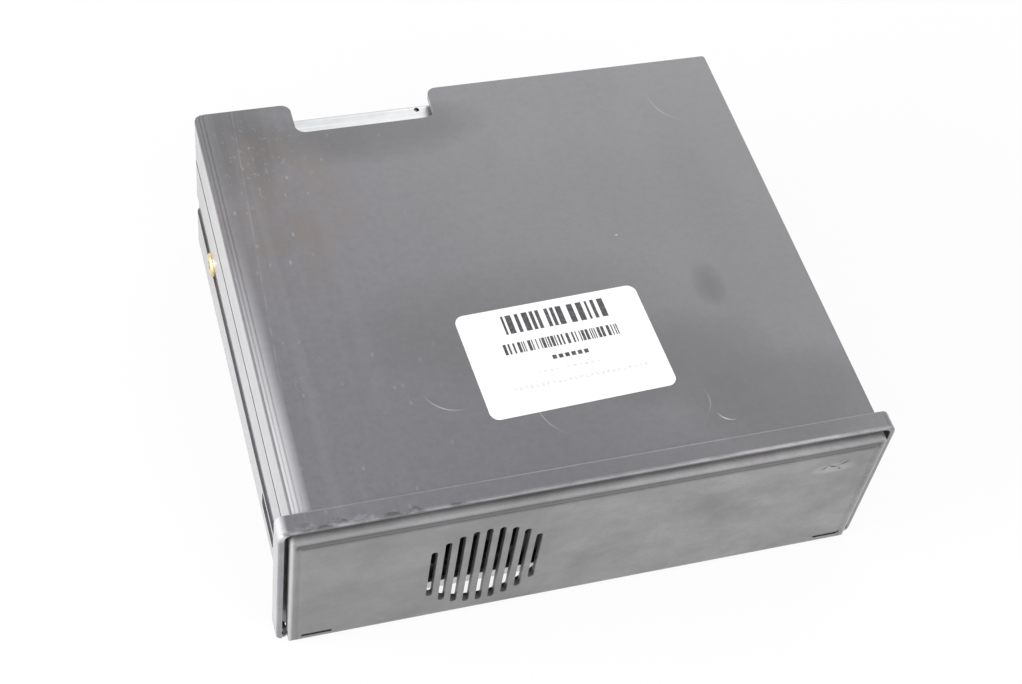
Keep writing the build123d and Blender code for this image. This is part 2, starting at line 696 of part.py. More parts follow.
def make_rotor():
    """The fan's impeller: a cup with a sleeve and twisted, curved blades."""
    front = FASCIA_BACK + ROTOR_FRONT_GAP
    back = FAN_BACK - FAN_FLOOR_T - ROTOR_BACK_GAP
    middle = (front + back) / 2
    hub = along_y(Circle(ROTOR_HUB_R), front, back)
    hub = fillet(hub.edges().sort_by(Axis.Y)[0], ROTOR_SHELL_T)
    hub -= along_y(Circle(ROTOR_HUB_R - ROTOR_SHELL_T), front + ROTOR_SHELL_T, back + PAST)
    hub += along_y(Circle(ROTOR_SLEEVE_R), front + ROTOR_SHELL_T, back)
    hub -= along_y(Circle(FAN_TUBE_R + ROTOR_RUN), front + ROTOR_SHELL_T, back + PAST)
    root_x = ROTOR_HUB_R - BLADE_SINK * ROTOR_SHELL_T / 2
    tip_x = FAN_BORE_R - BLADE_TIP_GAP
    root = Pos(middle, 0) * blade_section(BLADE_ROOT_CHORD, BLADE_CAMBER, BLADE_ROOT_ANGLE)
    tip = Pos(middle, 0) * blade_section(BLADE_TIP_CHORD, BLADE_CAMBER, BLADE_TIP_ANGLE)
    blade = loft([Plane.YZ.offset(root_x) * root, Plane.YZ.offset(tip_x) * tip])
    blade &= along_y(Circle(tip_x), front, back)
    for index in range(BLADES):
        hub += Rot(0, 360 / BLADES * index, 0) * blade
    return Pos(VENT_X, 0, VENT_Z) * hub


def make_fan_screws():
    """Four screws from behind the fan into the inner wall."""
    length = FAN_T + FASCIA_T / 2
    screw = pan_screw(M3_R, length, M3_HEAD_R, M3_HEAD_T)
    return [Pos(x, FAN_BACK, z) * Rot(-90, 0, 0) * screw for x, z in fan_corners()]


def make_tray():
    """The chassis tray: floor, side walls and top flanges bent from one sheet."""
    outer = rect((-TRAY_X, TRAY_X), (COVER_LIP_T, TRAY_TOP), CHASSIS_BEND_R)
    inner = rect((-TRAY_INNER_X, TRAY_INNER_X), (TRAY_FLOOR, TRAY_TOP - SHEET), CHASSIS_BEND_R - SHEET)
    flange_x = TRAY_X - TRAY_FLANGE
    gap = rect((-flange_x, flange_x), (TRAY_TOP - SHEET, TRAY_TOP + PAST))
    tray = along_y(outer - inner - gap, FASCIA_BACK, PLATE_BACK - LID_BEND_R + SHEET)
    tongue_x = TRAY_X - TRAY_TONGUE_INSET
    floor = (COVER_LIP_T, TRAY_FLOOR)
    tray += block((-tongue_x, tongue_x), (TRAY_FRONT_Y, FASCIA_BACK), floor)
    lip_z = (COVER_LIP_T, TRAY_FLOOR + TRAY_TONGUE_LIP)
    tray += block((-tongue_x, tongue_x), (TRAY_FRONT_Y, TRAY_FRONT_Y + SHEET), lip_z)
    for side in SIDES:
        tab_x = (side * flange_x, side * (TRAY_INNER_X + SHEET / 2))
        tabs = [(FASCIA_SCREW_Z, FASCIA_BACK)] + [(place, PLATE_FRONT - SHEET) for place in TAB_PLACES]
        for place, y in tabs:
            tray += block(tab_x, (y, y + SHEET), (place - TAB_H / 2, place + TAB_H / 2))
        hole = disc(side * FASCIA_SCREW_X, FASCIA_SCREW_Z, M3_R)
        tray -= along_y(hole, FASCIA_BACK - PAST, FASCIA_BACK + PAST)
        for place in TAB_PLACES:
            tray -= along_y(disc(side * FASCIA_SCREW_X, place, M3_R), PLATE_FRONT - PAST, PLATE_FRONT)
        for y in LID_SCREW_Y:
            tray -= along_z(disc(side * LID_SCREW_X, y, M3_R), TRAY_TOP - PAST, TRAY_TOP + PAST)
        nut = disc(SIDE_SCREW_Y, RAIL_Z, SIDE_NUT_R)
        tray += along_x(nut, side * (TRAY_INNER_X - SIDE_NUT_T), side * TRAY_INNER_X)
        thread = disc(SIDE_SCREW_Y, RAIL_Z, SIDE_SCREW_R)
        tray -= along_x(thread, side * (TRAY_INNER_X - PAST), side * (TRAY_X + PAST))
    for x, y in FLOOR_SLOT_ROWS:
        for index in range(FLOOR_SLOTS):
            slot_y = y + (index - (FLOOR_SLOTS - 1) / 2) * FLOOR_SLOT_PITCH
            slot = Pos(x, slot_y) * SlotOverall(FLOOR_SLOT_LENGTH, FLOOR_SLOT_W)
            tray -= along_z(slot, COVER_LIP_T - PAST, TRAY_FLOOR + SHEET)
    return tray


def make_lid():
    """The chassis lid, bent down along its rear edge."""
    front = FASCIA_BACK + LID_FRONT_GAP
    back = PLATE_BACK + SHEET
    outer = rect((front, back), (TRAY_TOP - LID_FLANGE, LID_TOP))
    rear_top = outer.vertices().group_by(Axis.X)[-1].sort_by(Axis.Y)[-1]
    outer = fillet(rear_top, LID_BEND_R)
    inner = rect((front - PAST, PLATE_BACK), (TRAY_TOP - LID_FLANGE - PAST, TRAY_TOP))
    corner = inner.vertices().group_by(Axis.X)[-1].sort_by(Axis.Y)[-1]
    inner = fillet(corner, LID_BEND_R - SHEET)
    half = TRAY_X - PLATE_MARGIN
    lid = along_x(outer - inner, -half, half)
    for side in SIDES:
        for y in LID_SCREW_Y:
            lid -= along_z(disc(side * LID_SCREW_X, y, M3_R + RUN), TRAY_TOP - PAST, LID_TOP + PAST)
    hole_y = back - LID_BEND_R - LID_HOLE_R
    return lid - along_z(disc(LID_HOLE_X, hole_y, LID_HOLE_R), TRAY_TOP - PAST, LID_TOP + PAST)


def make_rear_plate():
    """The rear wall of the chassis with the connector's window and air slots."""
    half = TRAY_INNER_X - PLATE_MARGIN
    top = TRAY_TOP - SHEET - PLATE_MARGIN
    plate = along_y(rect((-half, half), (TRAY_FLOOR, top)), PLATE_FRONT, PLATE_BACK)
    window = rect_at(NOTCH_X, PLUG_Z, PLUG_W + 2 * RUN, PLUG_H + 2 * RUN)
    plate -= along_y(window, PLATE_FRONT - PAST, PLATE_BACK + PAST)
    plate -= along_y(disc(SOCKET_X, PLUG_Z, SOCKET_R + RUN), PLATE_FRONT - PAST, PLATE_BACK + PAST)
    for index in range(FLOOR_SLOTS - 3):
        x = REAR_SLOT_X + (index - (FLOOR_SLOTS - 4) / 2) * FLOOR_SLOT_PITCH
        slot = Pos(x, PLUG_Z - PLUG_H / 2) * Rot(0, 0, 90) * SlotOverall(REAR_SLOT_H, FLOOR_SLOT_W)
        plate -= along_y(slot, PLATE_FRONT - PAST, PLATE_BACK + PAST)
    for side in SIDES:
        for place in TAB_PLACES:
            hole = disc(side * FASCIA_SCREW_X, place, M3_R + RUN)
            plate -= along_y(hole, PLATE_FRONT - PAST, PLATE_BACK + PAST)
    return plate


def contact_places():
    """The centres of the connector's contacts in X and Z."""
    places = []
    for row in SIDES:
        for column in range(CONTACT_COLUMNS):
            x = NOTCH_X + (column - (CONTACT_COLUMNS - 1) / 2) * CONTACT_PITCH
            places.append((x, PLUG_Z + row * CONTACT_ROW_GAP / 2))
    return places


def make_plug():
    """The shroud of the main connector, open to the back."""
    back = PLATE_BACK + PLUG_PROUD
    shell = along_y(rect_at(NOTCH_X, PLUG_Z, PLUG_W, PLUG_H), PLUG_FRONT, back)
    flange = rect_at(NOTCH_X, PLUG_Z, PLUG_W + 2 * PLUG_FLANGE, PLUG_H + 2 * PLUG_FLANGE)
    shell += along_y(flange, PLATE_FRONT - PLUG_FLANGE_T, PLATE_FRONT)
    cavity = rect_at(NOTCH_X, PLUG_Z, PLUG_W - 2 * PLUG_WALL, PLUG_H - 2 * PLUG_WALL)
    shell -= along_y(cavity, PLUG_FRONT + PLUG_BACK, back + PAST)
    latch = rect_at(NOTCH_X, PLUG_Z + PLUG_H / 2, PLUG_LATCH_W, 2 * PLUG_WALL + RUN)
    shell -= along_y(latch, PLATE_BACK + RUN, back + PAST)
    for x, z in contact_places():
        seat = rect_at(x, z, CONTACT_SIZE, CONTACT_SIZE)
        shell -= along_y(seat, PLUG_FRONT - PAST, PLUG_FRONT + PLUG_BACK + PAST)
    return shell


def make_contacts():
    """Two rows of square contacts."""
    end = PLUG_FRONT + PLUG_BACK + CONTACT_REACH
    contact = along_y(Rectangle(CONTACT_SIZE, CONTACT_SIZE), PLUG_FRONT, end)
    return [Pos(x, 0, z) * contact for x, z in contact_places()]


def make_antenna_socket():
    """The aerial's coaxial socket: a bushing with a hexagon nut and a thin barrel."""
    end = BODY_DEPTH - RUN
    body = along_y(disc(SOCKET_X, PLUG_Z, SOCKET_R), PLUG_FRONT, PLATE_BACK)
    nut = Pos(SOCKET_X, PLUG_Z) * RegularPolygon(SOCKET_NUT_R, 6)
    body += along_y(nut, PLATE_BACK, PLATE_BACK + SOCKET_NUT_T)
    body += along_y(disc(SOCKET_X, PLUG_Z, SOCKET_BARREL_R), PLATE_BACK, end)
    body -= along_y(disc(SOCKET_X, PLUG_Z, SOCKET_BARREL_BORE_R), end - SOCKET_BORE_CUT, end + PAST)
    core = disc(SOCKET_X, PLUG_Z, SOCKET_CORE_R)
    return body + along_y(core, end - SOCKET_BORE_CUT, end - SOCKET_BORE_CUT / 3)


def make_back_board():
    """The upright board behind the rear plate."""
    low = MAIN_TOP + BACK_BOARD_GAP
    half = MAIN_HALF_W - BACK_BOARD_INSET
    return block((-half, half), (BACK_BOARD_Y, PLUG_FRONT), (low, low + BACK_BOARD_H))


def make_headers():
    """Board headers: one to the upright board, one for the drive's ribbon."""
    y = (BACK_BOARD_Y - HEADER_L, BACK_BOARD_Y)
    tall = block((-HEADER_W / 2, HEADER_W / 2), y, (MAIN_TOP, MAIN_TOP + HEADER_H))
    x = (DRIVE_BOARD_X - RIBBON_W / 2, DRIVE_BOARD_X + RIBBON_W / 2)
    y = (RIBBON_Y - RIBBON_HEADER_L / 2, RIBBON_Y + RIBBON_HEADER_L / 2)
    return [tall, block(x, y, (MAIN_TOP, MAIN_TOP + RIBBON_HEADER_H))]


def board_corners():
    """The main board's four fixing places."""
    x = MAIN_HALF_W - STANDOFF_INSET
    rows = (MAIN_FRONT_Y + STANDOFF_INSET, MAIN_REAR_Y - STANDOFF_INSET)
    return [(side * x, y) for side in SIDES for y in rows]


def make_main_board():
    """The main circuit board."""
    board = block((-MAIN_HALF_W, MAIN_HALF_W), (MAIN_FRONT_Y, MAIN_REAR_Y), (MAIN_Z, MAIN_TOP))
    for x, y in board_corners():
        board -= along_z(disc(x, y, M3_R + RUN), MAIN_Z - PAST, MAIN_TOP + PAST)
    return board


def make_standoffs():
    """Pillars between the tray's floor and the main board."""
    pillars = []
    for x, y in board_corners():
        pillars.append(along_z(disc(x, y, STANDOFF_R) - disc(x, y, M3_R), TRAY_FLOOR, MAIN_Z))
    return pillars


def make_board_screws():
    """Screws that hold the main board to its pillars."""
    screw = pan_screw(M3_R, BOARD_T + STANDOFF_H - RUN, M3_HEAD_R, M3_HEAD_T)
    return [Pos(x, y, MAIN_TOP) * screw for x, y in board_corners()]


def make_processor():
    """The processor package."""
    return Pos(0, 0, MAIN_TOP) * along_z(rect_at(CHIP_X, CHIP_Y, CHIP_SIZE, CHIP_SIZE), 0, CHIP_T)


def make_heat_sink():
    """A finned block on the processor."""
    base = MAIN_TOP + CHIP_T
    sink = along_z(rect_at(CHIP_X, CHIP_Y, SINK_SIZE, SINK_SIZE), base, base + SINK_BASE)
    pitch = (SINK_SIZE - SINK_FIN_T) / (SINK_FINS - 1)
    for index in range(SINK_FINS):
        x = CHIP_X - (SINK_SIZE - SINK_FIN_T) / 2 + index * pitch
        sink += along_z(rect_at(x, CHIP_Y, SINK_FIN_T, SINK_SIZE), base, base + SINK_H)
    return sink


def make_memory():
    """Memory chips in a row behind the processor."""
    chips = []
    for index in range(MEMORY_COUNT):
        x = CHIP_X + (index - (MEMORY_COUNT - 1) / 2) * MEMORY_PITCH
        chips.append(along_z(rect_at(x, MEMORY_Y, MEMORY_W, MEMORY_L), MAIN_TOP, MAIN_TOP + MEMORY_T))
    return chips


def make_receiver():
    """The satellite receiver in its shielding can."""
    can = along_z(rect_at(RECEIVER_X, RECEIVER_Y, RECEIVER_W, RECEIVER_L), MAIN_TOP, MAIN_TOP + RECEIVER_H)
    return fillet(can.edges().filter_by(Axis.Z), RECEIVER_R)


def make_gyro():
    """The upright turn sensor."""
    body = along_z(rect_at(GYRO_X, GYRO_Y, GYRO_W, GYRO_L), MAIN_TOP, MAIN_TOP + GYRO_H)
    return fillet(body.edges().group_by(Axis.Z)[-1], RECEIVER_R / 2)


def make_coil():
    """The ring coil of the power supply."""
    return Pos(COIL_X, COIL_Y, MAIN_TOP + COIL_WIRE_R) * Torus(COIL_R, COIL_WIRE_R)


def make_capacitors():
    """Upright capacitors of the power supply."""
    can = along_z(Circle(CAPACITOR_R), 0, CAPACITOR_H)
    can = fillet(can.edges().sort_by(Axis.Z)[-1], CAPACITOR_GROOVE)
    places = [side * (MAIN_HALF_W - inset) for side in SIDES for inset in CAPACITOR_INSETS]
    return [Pos(x, CAPACITOR_Y, MAIN_TOP) * can for x in places]


def make_brackets():
    """Angle brackets on the tray's side walls that carry the drive."""
    brackets = []
    for side in SIDES:
        ledge_x = (side * (TRAY_INNER_X - BRACKET_REACH), side * TRAY_INNER_X)
        y = (BRACKET_FRONT_Y, DECK_REAR_Y - BRACKET_REAR_INSET)
        bracket = block(ledge_x, y, (BRACKET_TOP - BRACKET_T, BRACKET_TOP))
        leg_x = (side * (TRAY_INNER_X - BRACKET_T), side * TRAY_INNER_X)
        bracket += block(leg_x, y, (BRACKET_TOP - BRACKET_DROP, BRACKET_TOP))
        for place in DRIVE_SCREW_Y:
            hole = disc(side * DRIVE_SCREW_X, place, M3_R)
            bracket -= along_z(hole, BRACKET_TOP - PAST, BRACKET_TOP + PAST)
        brackets.append(bracket)
    return brackets


def drive_corners():
    """The drive's four fixing places."""
    return [(side * DRIVE_SCREW_X, y) for side in SIDES for y in DRIVE_SCREW_Y]


def make_dampers():
    """Rubber rings between the brackets and the drive's deck."""
    ring = along_z(Circle(DAMPER_R) - Circle(M3_R), BRACKET_TOP, DECK_Z)
    return [Pos(x, y, 0) * ring for x, y in drive_corners()]


def make_drive_screws():
    """Screws through the deck and the rubber rings into the brackets."""
    screw = pan_screw(M3_R, DECK_T + DAMPER_H + BRACKET_T, M3_HEAD_R, M3_HEAD_T)
    return [Pos(x, y, DECK_TOP) * screw for x, y in drive_corners()]


def make_drive_frame():
    """The drive's deck with cheeks, rod clips and ears for the clamp's arm."""
    frame = block((-DECK_HALF_W, DECK_HALF_W), (DECK_FRONT_Y, DECK_REAR_Y), (DECK_Z, DECK_TOP))
    rear_clip = (DECK_REAR_Y - ROD_CLIP_L, DECK_REAR_Y)
    front_clip = (ROD_FRONT_Y, ROD_FRONT_Y + ROD_CLIP_L)
    through = (DECK_Z - PAST, DECK_TOP + PAST)
    frame -= block((-CUTOUT_W / 2, CUTOUT_W / 2), (front_clip[1], rear_clip[0]), through)
    frame -= along_z(disc(0, SPINDLE_Y, SPINDLE_HOLE_R), *through)
    for x, y in drive_corners():
        frame -= along_z(disc(x, y, M3_R + RUN), DECK_Z - PAST, DECK_TOP + PAST)
    for side in SIDES:
        cheek_x = (side * CHEEK_X, side * (CHEEK_X + CHEEK_T))
        frame += block(cheek_x, (CHEEK_FRONT_Y, DECK_REAR_Y), (DECK_Z, CHEEK_TOP))
        shaft_hole = disc(ROLLER_Y, ROLLER_Z, ROLLER_SHAFT_R + RUN)
        frame -= along_x(shaft_hole, side * (CHEEK_X - PAST), side * (CHEEK_X + PAST))
        ear_x = ARM_W / 2 + ARM_EAR_GAP
        ear_y = (ARM_PIN_Y - ARM_EAR_L / 2, DECK_REAR_Y)
        ear = block((side * ear_x, side * (ear_x + ARM_EAR_T)), ear_y, (DECK_Z, ARM_TOP))
        pin_hole = disc(ARM_PIN_Y, ARM_PIN_Z, ARM_PIN_R)
        frame += ear - along_x(pin_hole, side * (ear_x - PAST), side * (ear_x + PAST))
        for clip in (front_clip, rear_clip):
            frame += clip_block(side * ROD_X, clip, ROD_R)
    return frame + clip_block(SCREW_X, rear_clip, SCREW_R + RUN)


def clip_block(x, span, radius):
    """A small block under the deck with a hole for a rod."""
    low = ROD_Z - ROD_CLIP_W / 2
    clip = block((x - ROD_CLIP_W / 2, x + ROD_CLIP_W / 2), span, (low, DECK_Z + DECK_T / 2))
    return clip - along_y(disc(x, ROD_Z, radius), span[0] - PAST, span[1] + PAST)


def make_rods():
    """Two steel rods that guide the laser sled."""
    return [along_y(disc(side * ROD_X, ROD_Z, ROD_R), ROD_FRONT_Y, DECK_REAR_Y) for side in SIDES]


def make_sled():
    """The laser sled: a block on two guide rods, with an arm to the screw."""
    low = ROD_Z - SLED_T / 2
    end = SLED_START_Y + SLED_L
    sled = block((-SLED_W / 2, SLED_W / 2), (SLED_START_Y, end), (low, low + SLED_T))
    sled = fillet(sled.edges().filter_by(Axis.Z), RECEIVER_R)
    for side in SIDES:
        ear = (side * (SLED_W / 2 - RUN), side * (ROD_X + SLED_EAR / 2))
        sled += block(ear, (SLED_START_Y + RECEIVER_R, end - RECEIVER_R), (low, low + SLED_T - DECK_T))
        sled -= along_y(disc(side * ROD_X, ROD_Z, ROD_R + RUN), SLED_START_Y - PAST, end + PAST)
    arm_x = (ROD_X + SLED_EAR / 2 - RUN, SCREW_X + SLED_EAR / 2)
    arm_y = (SLED_START_Y + RECEIVER_R, SLED_START_Y + RECEIVER_R + SCREW_ARM_L)
    sled += block(arm_x, arm_y, (low, low + SLED_T - DECK_T))
    return sled - along_y(disc(SCREW_X, ROD_Z, SCREW_R + RUN), SLED_START_Y - PAST, end + PAST)


def make_lens():
    """The lens on top of the sled."""
    top = ROD_Z + SLED_T / 2
    lens = along_z(disc(0, SLED_START_Y + SLED_L / 2, LENS_R), top, top + LENS_T)
    return fillet(lens.edges().sort_by(Axis.Z)[-1], LENS_T / 2)


def make_lead_screw():
    """The screw that drives the sled."""
    return along_y(disc(SCREW_X, ROD_Z, SCREW_R), ROD_FRONT_Y, DECK_REAR_Y - RUN)


def make_sled_motor():
    """The motor in front of the screw, hung from the deck."""
    y = (ROD_FRONT_Y - SLED_MOTOR_L - RUN, ROD_FRONT_Y - RUN)
    motor = along_y(disc(SCREW_X, ROD_Z, SLED_MOTOR_R), *y)
    return motor & block((SCREW_X - PAST, SCREW_X + PAST), y, (ROD_Z - PAST, DECK_Z))


def make_spindle():
    """The disc motor under the deck, with its boss and shaft."""
    motor = along_z(disc(0, SPINDLE_Y, SPINDLE_R), DECK_Z - SPINDLE_H, DECK_Z)
    motor = fillet(motor.edges().sort_by(Axis.Z)[0], DECK_T)
    motor += along_z(disc(0, SPINDLE_Y, SPINDLE_BOSS_R), DECK_Z, DECK_Z + SPINDLE_BOSS_H)
    return motor + along_z(disc(0, SPINDLE_Y, SPINDLE_SHAFT_R), DECK_Z, DECK_Z + SPINDLE_SHAFT_H)


def make_turntable():
    """The turntable with its centring cone."""
    top = TABLE_Z + TABLE_T
    table = along_z(Circle(TABLE_R), TABLE_Z, top)
    table += Pos(0, 0, top + TABLE_CONE_H / 2) * Cone(TABLE_CONE_R, TABLE_CONE_TOP_R, TABLE_CONE_H)
    table -= along_z(Circle(SPINDLE_SHAFT_R + RUN), TABLE_Z - PAST, top + PAST)
    return Pos(0, SPINDLE_Y, 0) * table


def make_roller():
    """The rubber loading roller, thinner at its waist so that it lifts the disc by its rim."""
    half = ROLLER_HALF_L
    rim = [(-half, ROLLER_R), (0, ROLLER_WAIST_R), (half, ROLLER_R)]
    roller = revolve(Polygon((-half, 0), *rim, (half, 0), align=None), Axis.X)
    roller -= along_x(Circle(ROLLER_SHAFT_R), -half - PAST, half + PAST)
    return Pos(0, ROLLER_Y, ROLLER_Z) * roller


def make_roller_shaft():
    """The roller's shaft, held in the cheeks and driven at its right end."""
    left = -CHEEK_X - CHEEK_T - SHAFT_END
    right = CHEEK_X + CHEEK_T + SHAFT_IN_MOTOR - RUN
    return along_x(disc(ROLLER_Y, ROLLER_Z, ROLLER_SHAFT_R), left, right)


def make_load_motor():
    """The loading motor on the right cheek."""
    start = CHEEK_X + CHEEK_T
    motor = along_x(disc(ROLLER_Y, ROLLER_Z, LOAD_MOTOR_R), start, start + LOAD_MOTOR_L)
    socket = disc(ROLLER_Y, ROLLER_Z, ROLLER_SHAFT_R + RUN)
    return motor - along_x(socket, start - PAST, start + SHAFT_IN_MOTOR)


def make_clamp_arm():
    """The arm that presses the disc down, with its knuckle at the back."""
    front = SPINDLE_Y - ARM_FRONT_MARGIN
    arm = block((-ARM_W / 2, ARM_W / 2), (front, ARM_PIN_Y), (ARM_BOTTOM, ARM_TOP))
    arm = fillet(arm.edges().filter_by(Axis.Z).group_by(Axis.Y)[0], ARM_FRONT_MARGIN - RUN)
    arm += along_x(disc(ARM_PIN_Y, ARM_PIN_Z, ARM_KNUCKLE_R), -ARM_W / 2, ARM_W / 2)
    arm -= along_x(disc(ARM_PIN_Y, ARM_PIN_Z, ARM_PIN_R + RUN), -ARM_W, ARM_W)
    return arm - along_z(disc(0, SPINDLE_Y, PUCK_STEM_R + RUN), ARM_BOTTOM - PAST, ARM_TOP + PAST)


def make_arm_pin():
    """The clamp arm's pin between the two ears."""
    reach = ARM_W / 2 + ARM_EAR_GAP + ARM_EAR_T
    return along_x(disc(ARM_PIN_Y, ARM_PIN_Z, ARM_PIN_R), -reach, reach)


def make_puck():
    """The clamping puck, free to turn with the disc."""
    top = ARM_BOTTOM - RUN
    puck = along_z(disc(0, SPINDLE_Y, PUCK_R), top - PUCK_T, top)
    puck = fillet(puck.edges().sort_by(Axis.Z)[0], PUCK_EDGE_R)
    return puck + along_z(disc(0, SPINDLE_Y, PUCK_STEM_R), top, ARM_TOP)


def make_drive_board():
    """The drive's board under the deck."""
    x = (DRIVE_BOARD_X - DRIVE_BOARD_W / 2, DRIVE_BOARD_X + DRIVE_BOARD_W / 2)
    return block(x, (DRIVE_BOARD_FRONT_Y, DRIVE_BOARD_REAR_Y), (DECK_Z - BOARD_T, DECK_Z))


def make_ribbon():
    """The ribbon from the main board up to the drive's board."""
    top = DECK_Z - BOARD_T
    start = MAIN_TOP + RIBBON_HEADER_H
    bend = RIBBON_BEND_R
    inner = bend - RIBBON_T
    upright = rect((RIBBON_Y, RIBBON_Y + RIBBON_T), (start, top - bend))
    flat = rect((RIBBON_Y + bend, RIBBON_Y + bend + RIBBON_LAP), (top - RIBBON_T, top))
    ring = disc(RIBBON_Y + bend, top - bend, bend) - disc(RIBBON_Y + bend, top - bend, inner)
    quarter = rect((RIBBON_Y, RIBBON_Y + bend), (top - bend, top))
    half = RIBBON_W / 2
    return along_x(upright + flat + (ring & quarter), DRIVE_BOARD_X - half, DRIVE_BOARD_X + half)


def make_lid_screws():
    """Screws through the lid into the tray's flanges."""
    screw = pan_screw(M3_R, SHEET * 3, M3_HEAD_R, M3_HEAD_T)
    return [Pos(side * LID_SCREW_X, y, LID_TOP) * screw for side in SIDES for y in LID_SCREW_Y]


def make_rear_screws():
    """Screws through the rear plate into the tray's tabs."""
    screw = pan_screw(M3_R, SHEET * 3, M3_HEAD_R, M3_HEAD_T)
    places = [(side * FASCIA_SCREW_X, z) for side in SIDES for z in TAB_PLACES]
    return [Pos(x, PLATE_BACK, z) * Rot(-90, 0, 0) * screw for x, z in places]


def make_fascia_screws():
    """Screws through the inner wall into the tray's front tabs."""
    screw = pan_screw(M3_R, FASCIA_T + SHEET * 2, FASCIA_HEAD_R, M3_HEAD_T)
    return [Pos(side * FASCIA_SCREW_X, FASCIA_Y, FASCIA_SCREW_Z) * Rot(90, 0, 0) * screw for side in SIDES]


def make_cover_screws():
    """Yellow screws in the side rails' channels that hold the cover to the chassis."""
    length = HALF_W - RAIL_CUT - TRAY_INNER_X + SIDE_NUT_T
    screw = pan_screw(SIDE_SCREW_R, length, SIDE_HEAD_R, SIDE_HEAD_T)
    seat = HALF_W - RAIL_CUT
    return [Pos(side * seat, SIDE_SCREW_Y, RAIL_Z) * Rot(0, 90 * side, 0) * screw for side in SIDES]


def make_sticker():
    """The paper sticker on the cover's top."""
    outline = Rot(0, 0, STICKER_TURN) * RectangleRounded(STICKER_W, STICKER_L, STICKER_R)
    return along_z(Pos(STICKER_X, STICKER_Y) * outline, BODY_H, BODY_H + STICKER_T)


NODES = {
    "outer_cover": make_cover,
    "front_door": make_door,
    "door_pins": make_pins,
    "friction_washers": make_washers,
    "inner_fascia": make_fascia,
    "eject_button": make_button,
    "eject_switch": make_switch,
    "button_board": make_small_board,
    "fan_frame": make_fan_frame,
    "fan_rotor": make_rotor,
    "fan_screws": make_fan_screws,
    "chassis_tray": make_tray,
    "chassis_lid": make_lid,
    "rear_plate": make_rear_plate,
    "main_connector": make_plug,
    "connector_pins": make_contacts,
    "antenna_socket": make_antenna_socket,
    "back_board": make_back_board,
    "board_headers": make_headers,
    "main_board": make_main_board,
    "board_standoffs": make_standoffs,
    "board_screws": make_board_screws,
    "processor": make_processor,
    "heat_sink": make_heat_sink,
    "memory_chips": make_memory,
    "satellite_receiver": make_receiver,
    "turn_sensor": make_gyro,
    "power_coil": make_coil,
    "capacitors": make_capacitors,
    "drive_brackets": make_brackets,
    "rubber_dampers": make_dampers,
    "drive_screws": make_drive_screws,
    "drive_frame": make_drive_frame,
    "guide_rods": make_rods,
    "laser_sled": make_sled,
    "laser_lens": make_lens,
    "lead_screw": make_lead_screw,
    "sled_motor": make_sled_motor,
    "spindle_motor": make_spindle,
    "turntable": make_turntable,
    "loading_roller": make_roller,
    "roller_shaft": make_roller_shaft,
    "loading_motor": make_load_motor,
    "clamp_arm": make_clamp_arm,
    "clamp_pin": make_arm_pin,
    "clamp_puck": make_puck,
    "drive_board": make_drive_board,
    "drive_ribbon": make_ribbon,
    "lid_screws": make_lid_screws,
    "rear_screws": make_rear_screws,
    "fascia_screws": make_fascia_screws,
    "cover_screws": make_cover_screws,
    "top_sticker": make_sticker,
}


def write_node(name, pieces):
    """Moves a node's pieces to the unit's own frame and writes them as one file."""
    solids = []
    for piece in pieces if isinstance(pieces, list) else [pieces]:
        solids.extend((Pos(0, -ORIGIN_Y, 0) * piece).solids())
    shape = solids[0] if len(solids) == 1 else Compound(children=solids)
    export_step(shape, os.path.join("parts", name + ".step"))


os.makedirs("parts", exist_ok=True)
for node, make in NODES.items():
    write_node(node, make())
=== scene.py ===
from math import cos, pi, radians, sin

import bpy
import numpy as np
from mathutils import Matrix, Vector


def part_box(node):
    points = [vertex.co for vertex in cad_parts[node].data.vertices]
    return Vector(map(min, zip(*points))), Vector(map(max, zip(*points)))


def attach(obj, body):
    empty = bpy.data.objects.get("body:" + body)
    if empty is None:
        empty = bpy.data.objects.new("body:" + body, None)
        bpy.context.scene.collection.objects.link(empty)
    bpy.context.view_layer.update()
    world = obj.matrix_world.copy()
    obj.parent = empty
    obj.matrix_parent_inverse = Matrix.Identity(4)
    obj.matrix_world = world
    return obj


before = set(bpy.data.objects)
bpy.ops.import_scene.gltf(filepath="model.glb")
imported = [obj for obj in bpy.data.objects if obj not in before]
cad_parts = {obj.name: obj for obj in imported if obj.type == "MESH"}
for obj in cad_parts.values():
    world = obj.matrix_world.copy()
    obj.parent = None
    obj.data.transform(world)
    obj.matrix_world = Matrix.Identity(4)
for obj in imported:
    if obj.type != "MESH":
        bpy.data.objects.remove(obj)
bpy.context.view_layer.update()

bl_info = {
    "name": "Car navigation unit",
    "version": (1, 0, 0),
    "blender": (4, 5, 0),
    "location": "View3D > Sidebar > Unit",
    "description": "Dresses the packed car navigation unit and lights it",
    "category": "Object",
}

MM = 0.001


# Node helpers

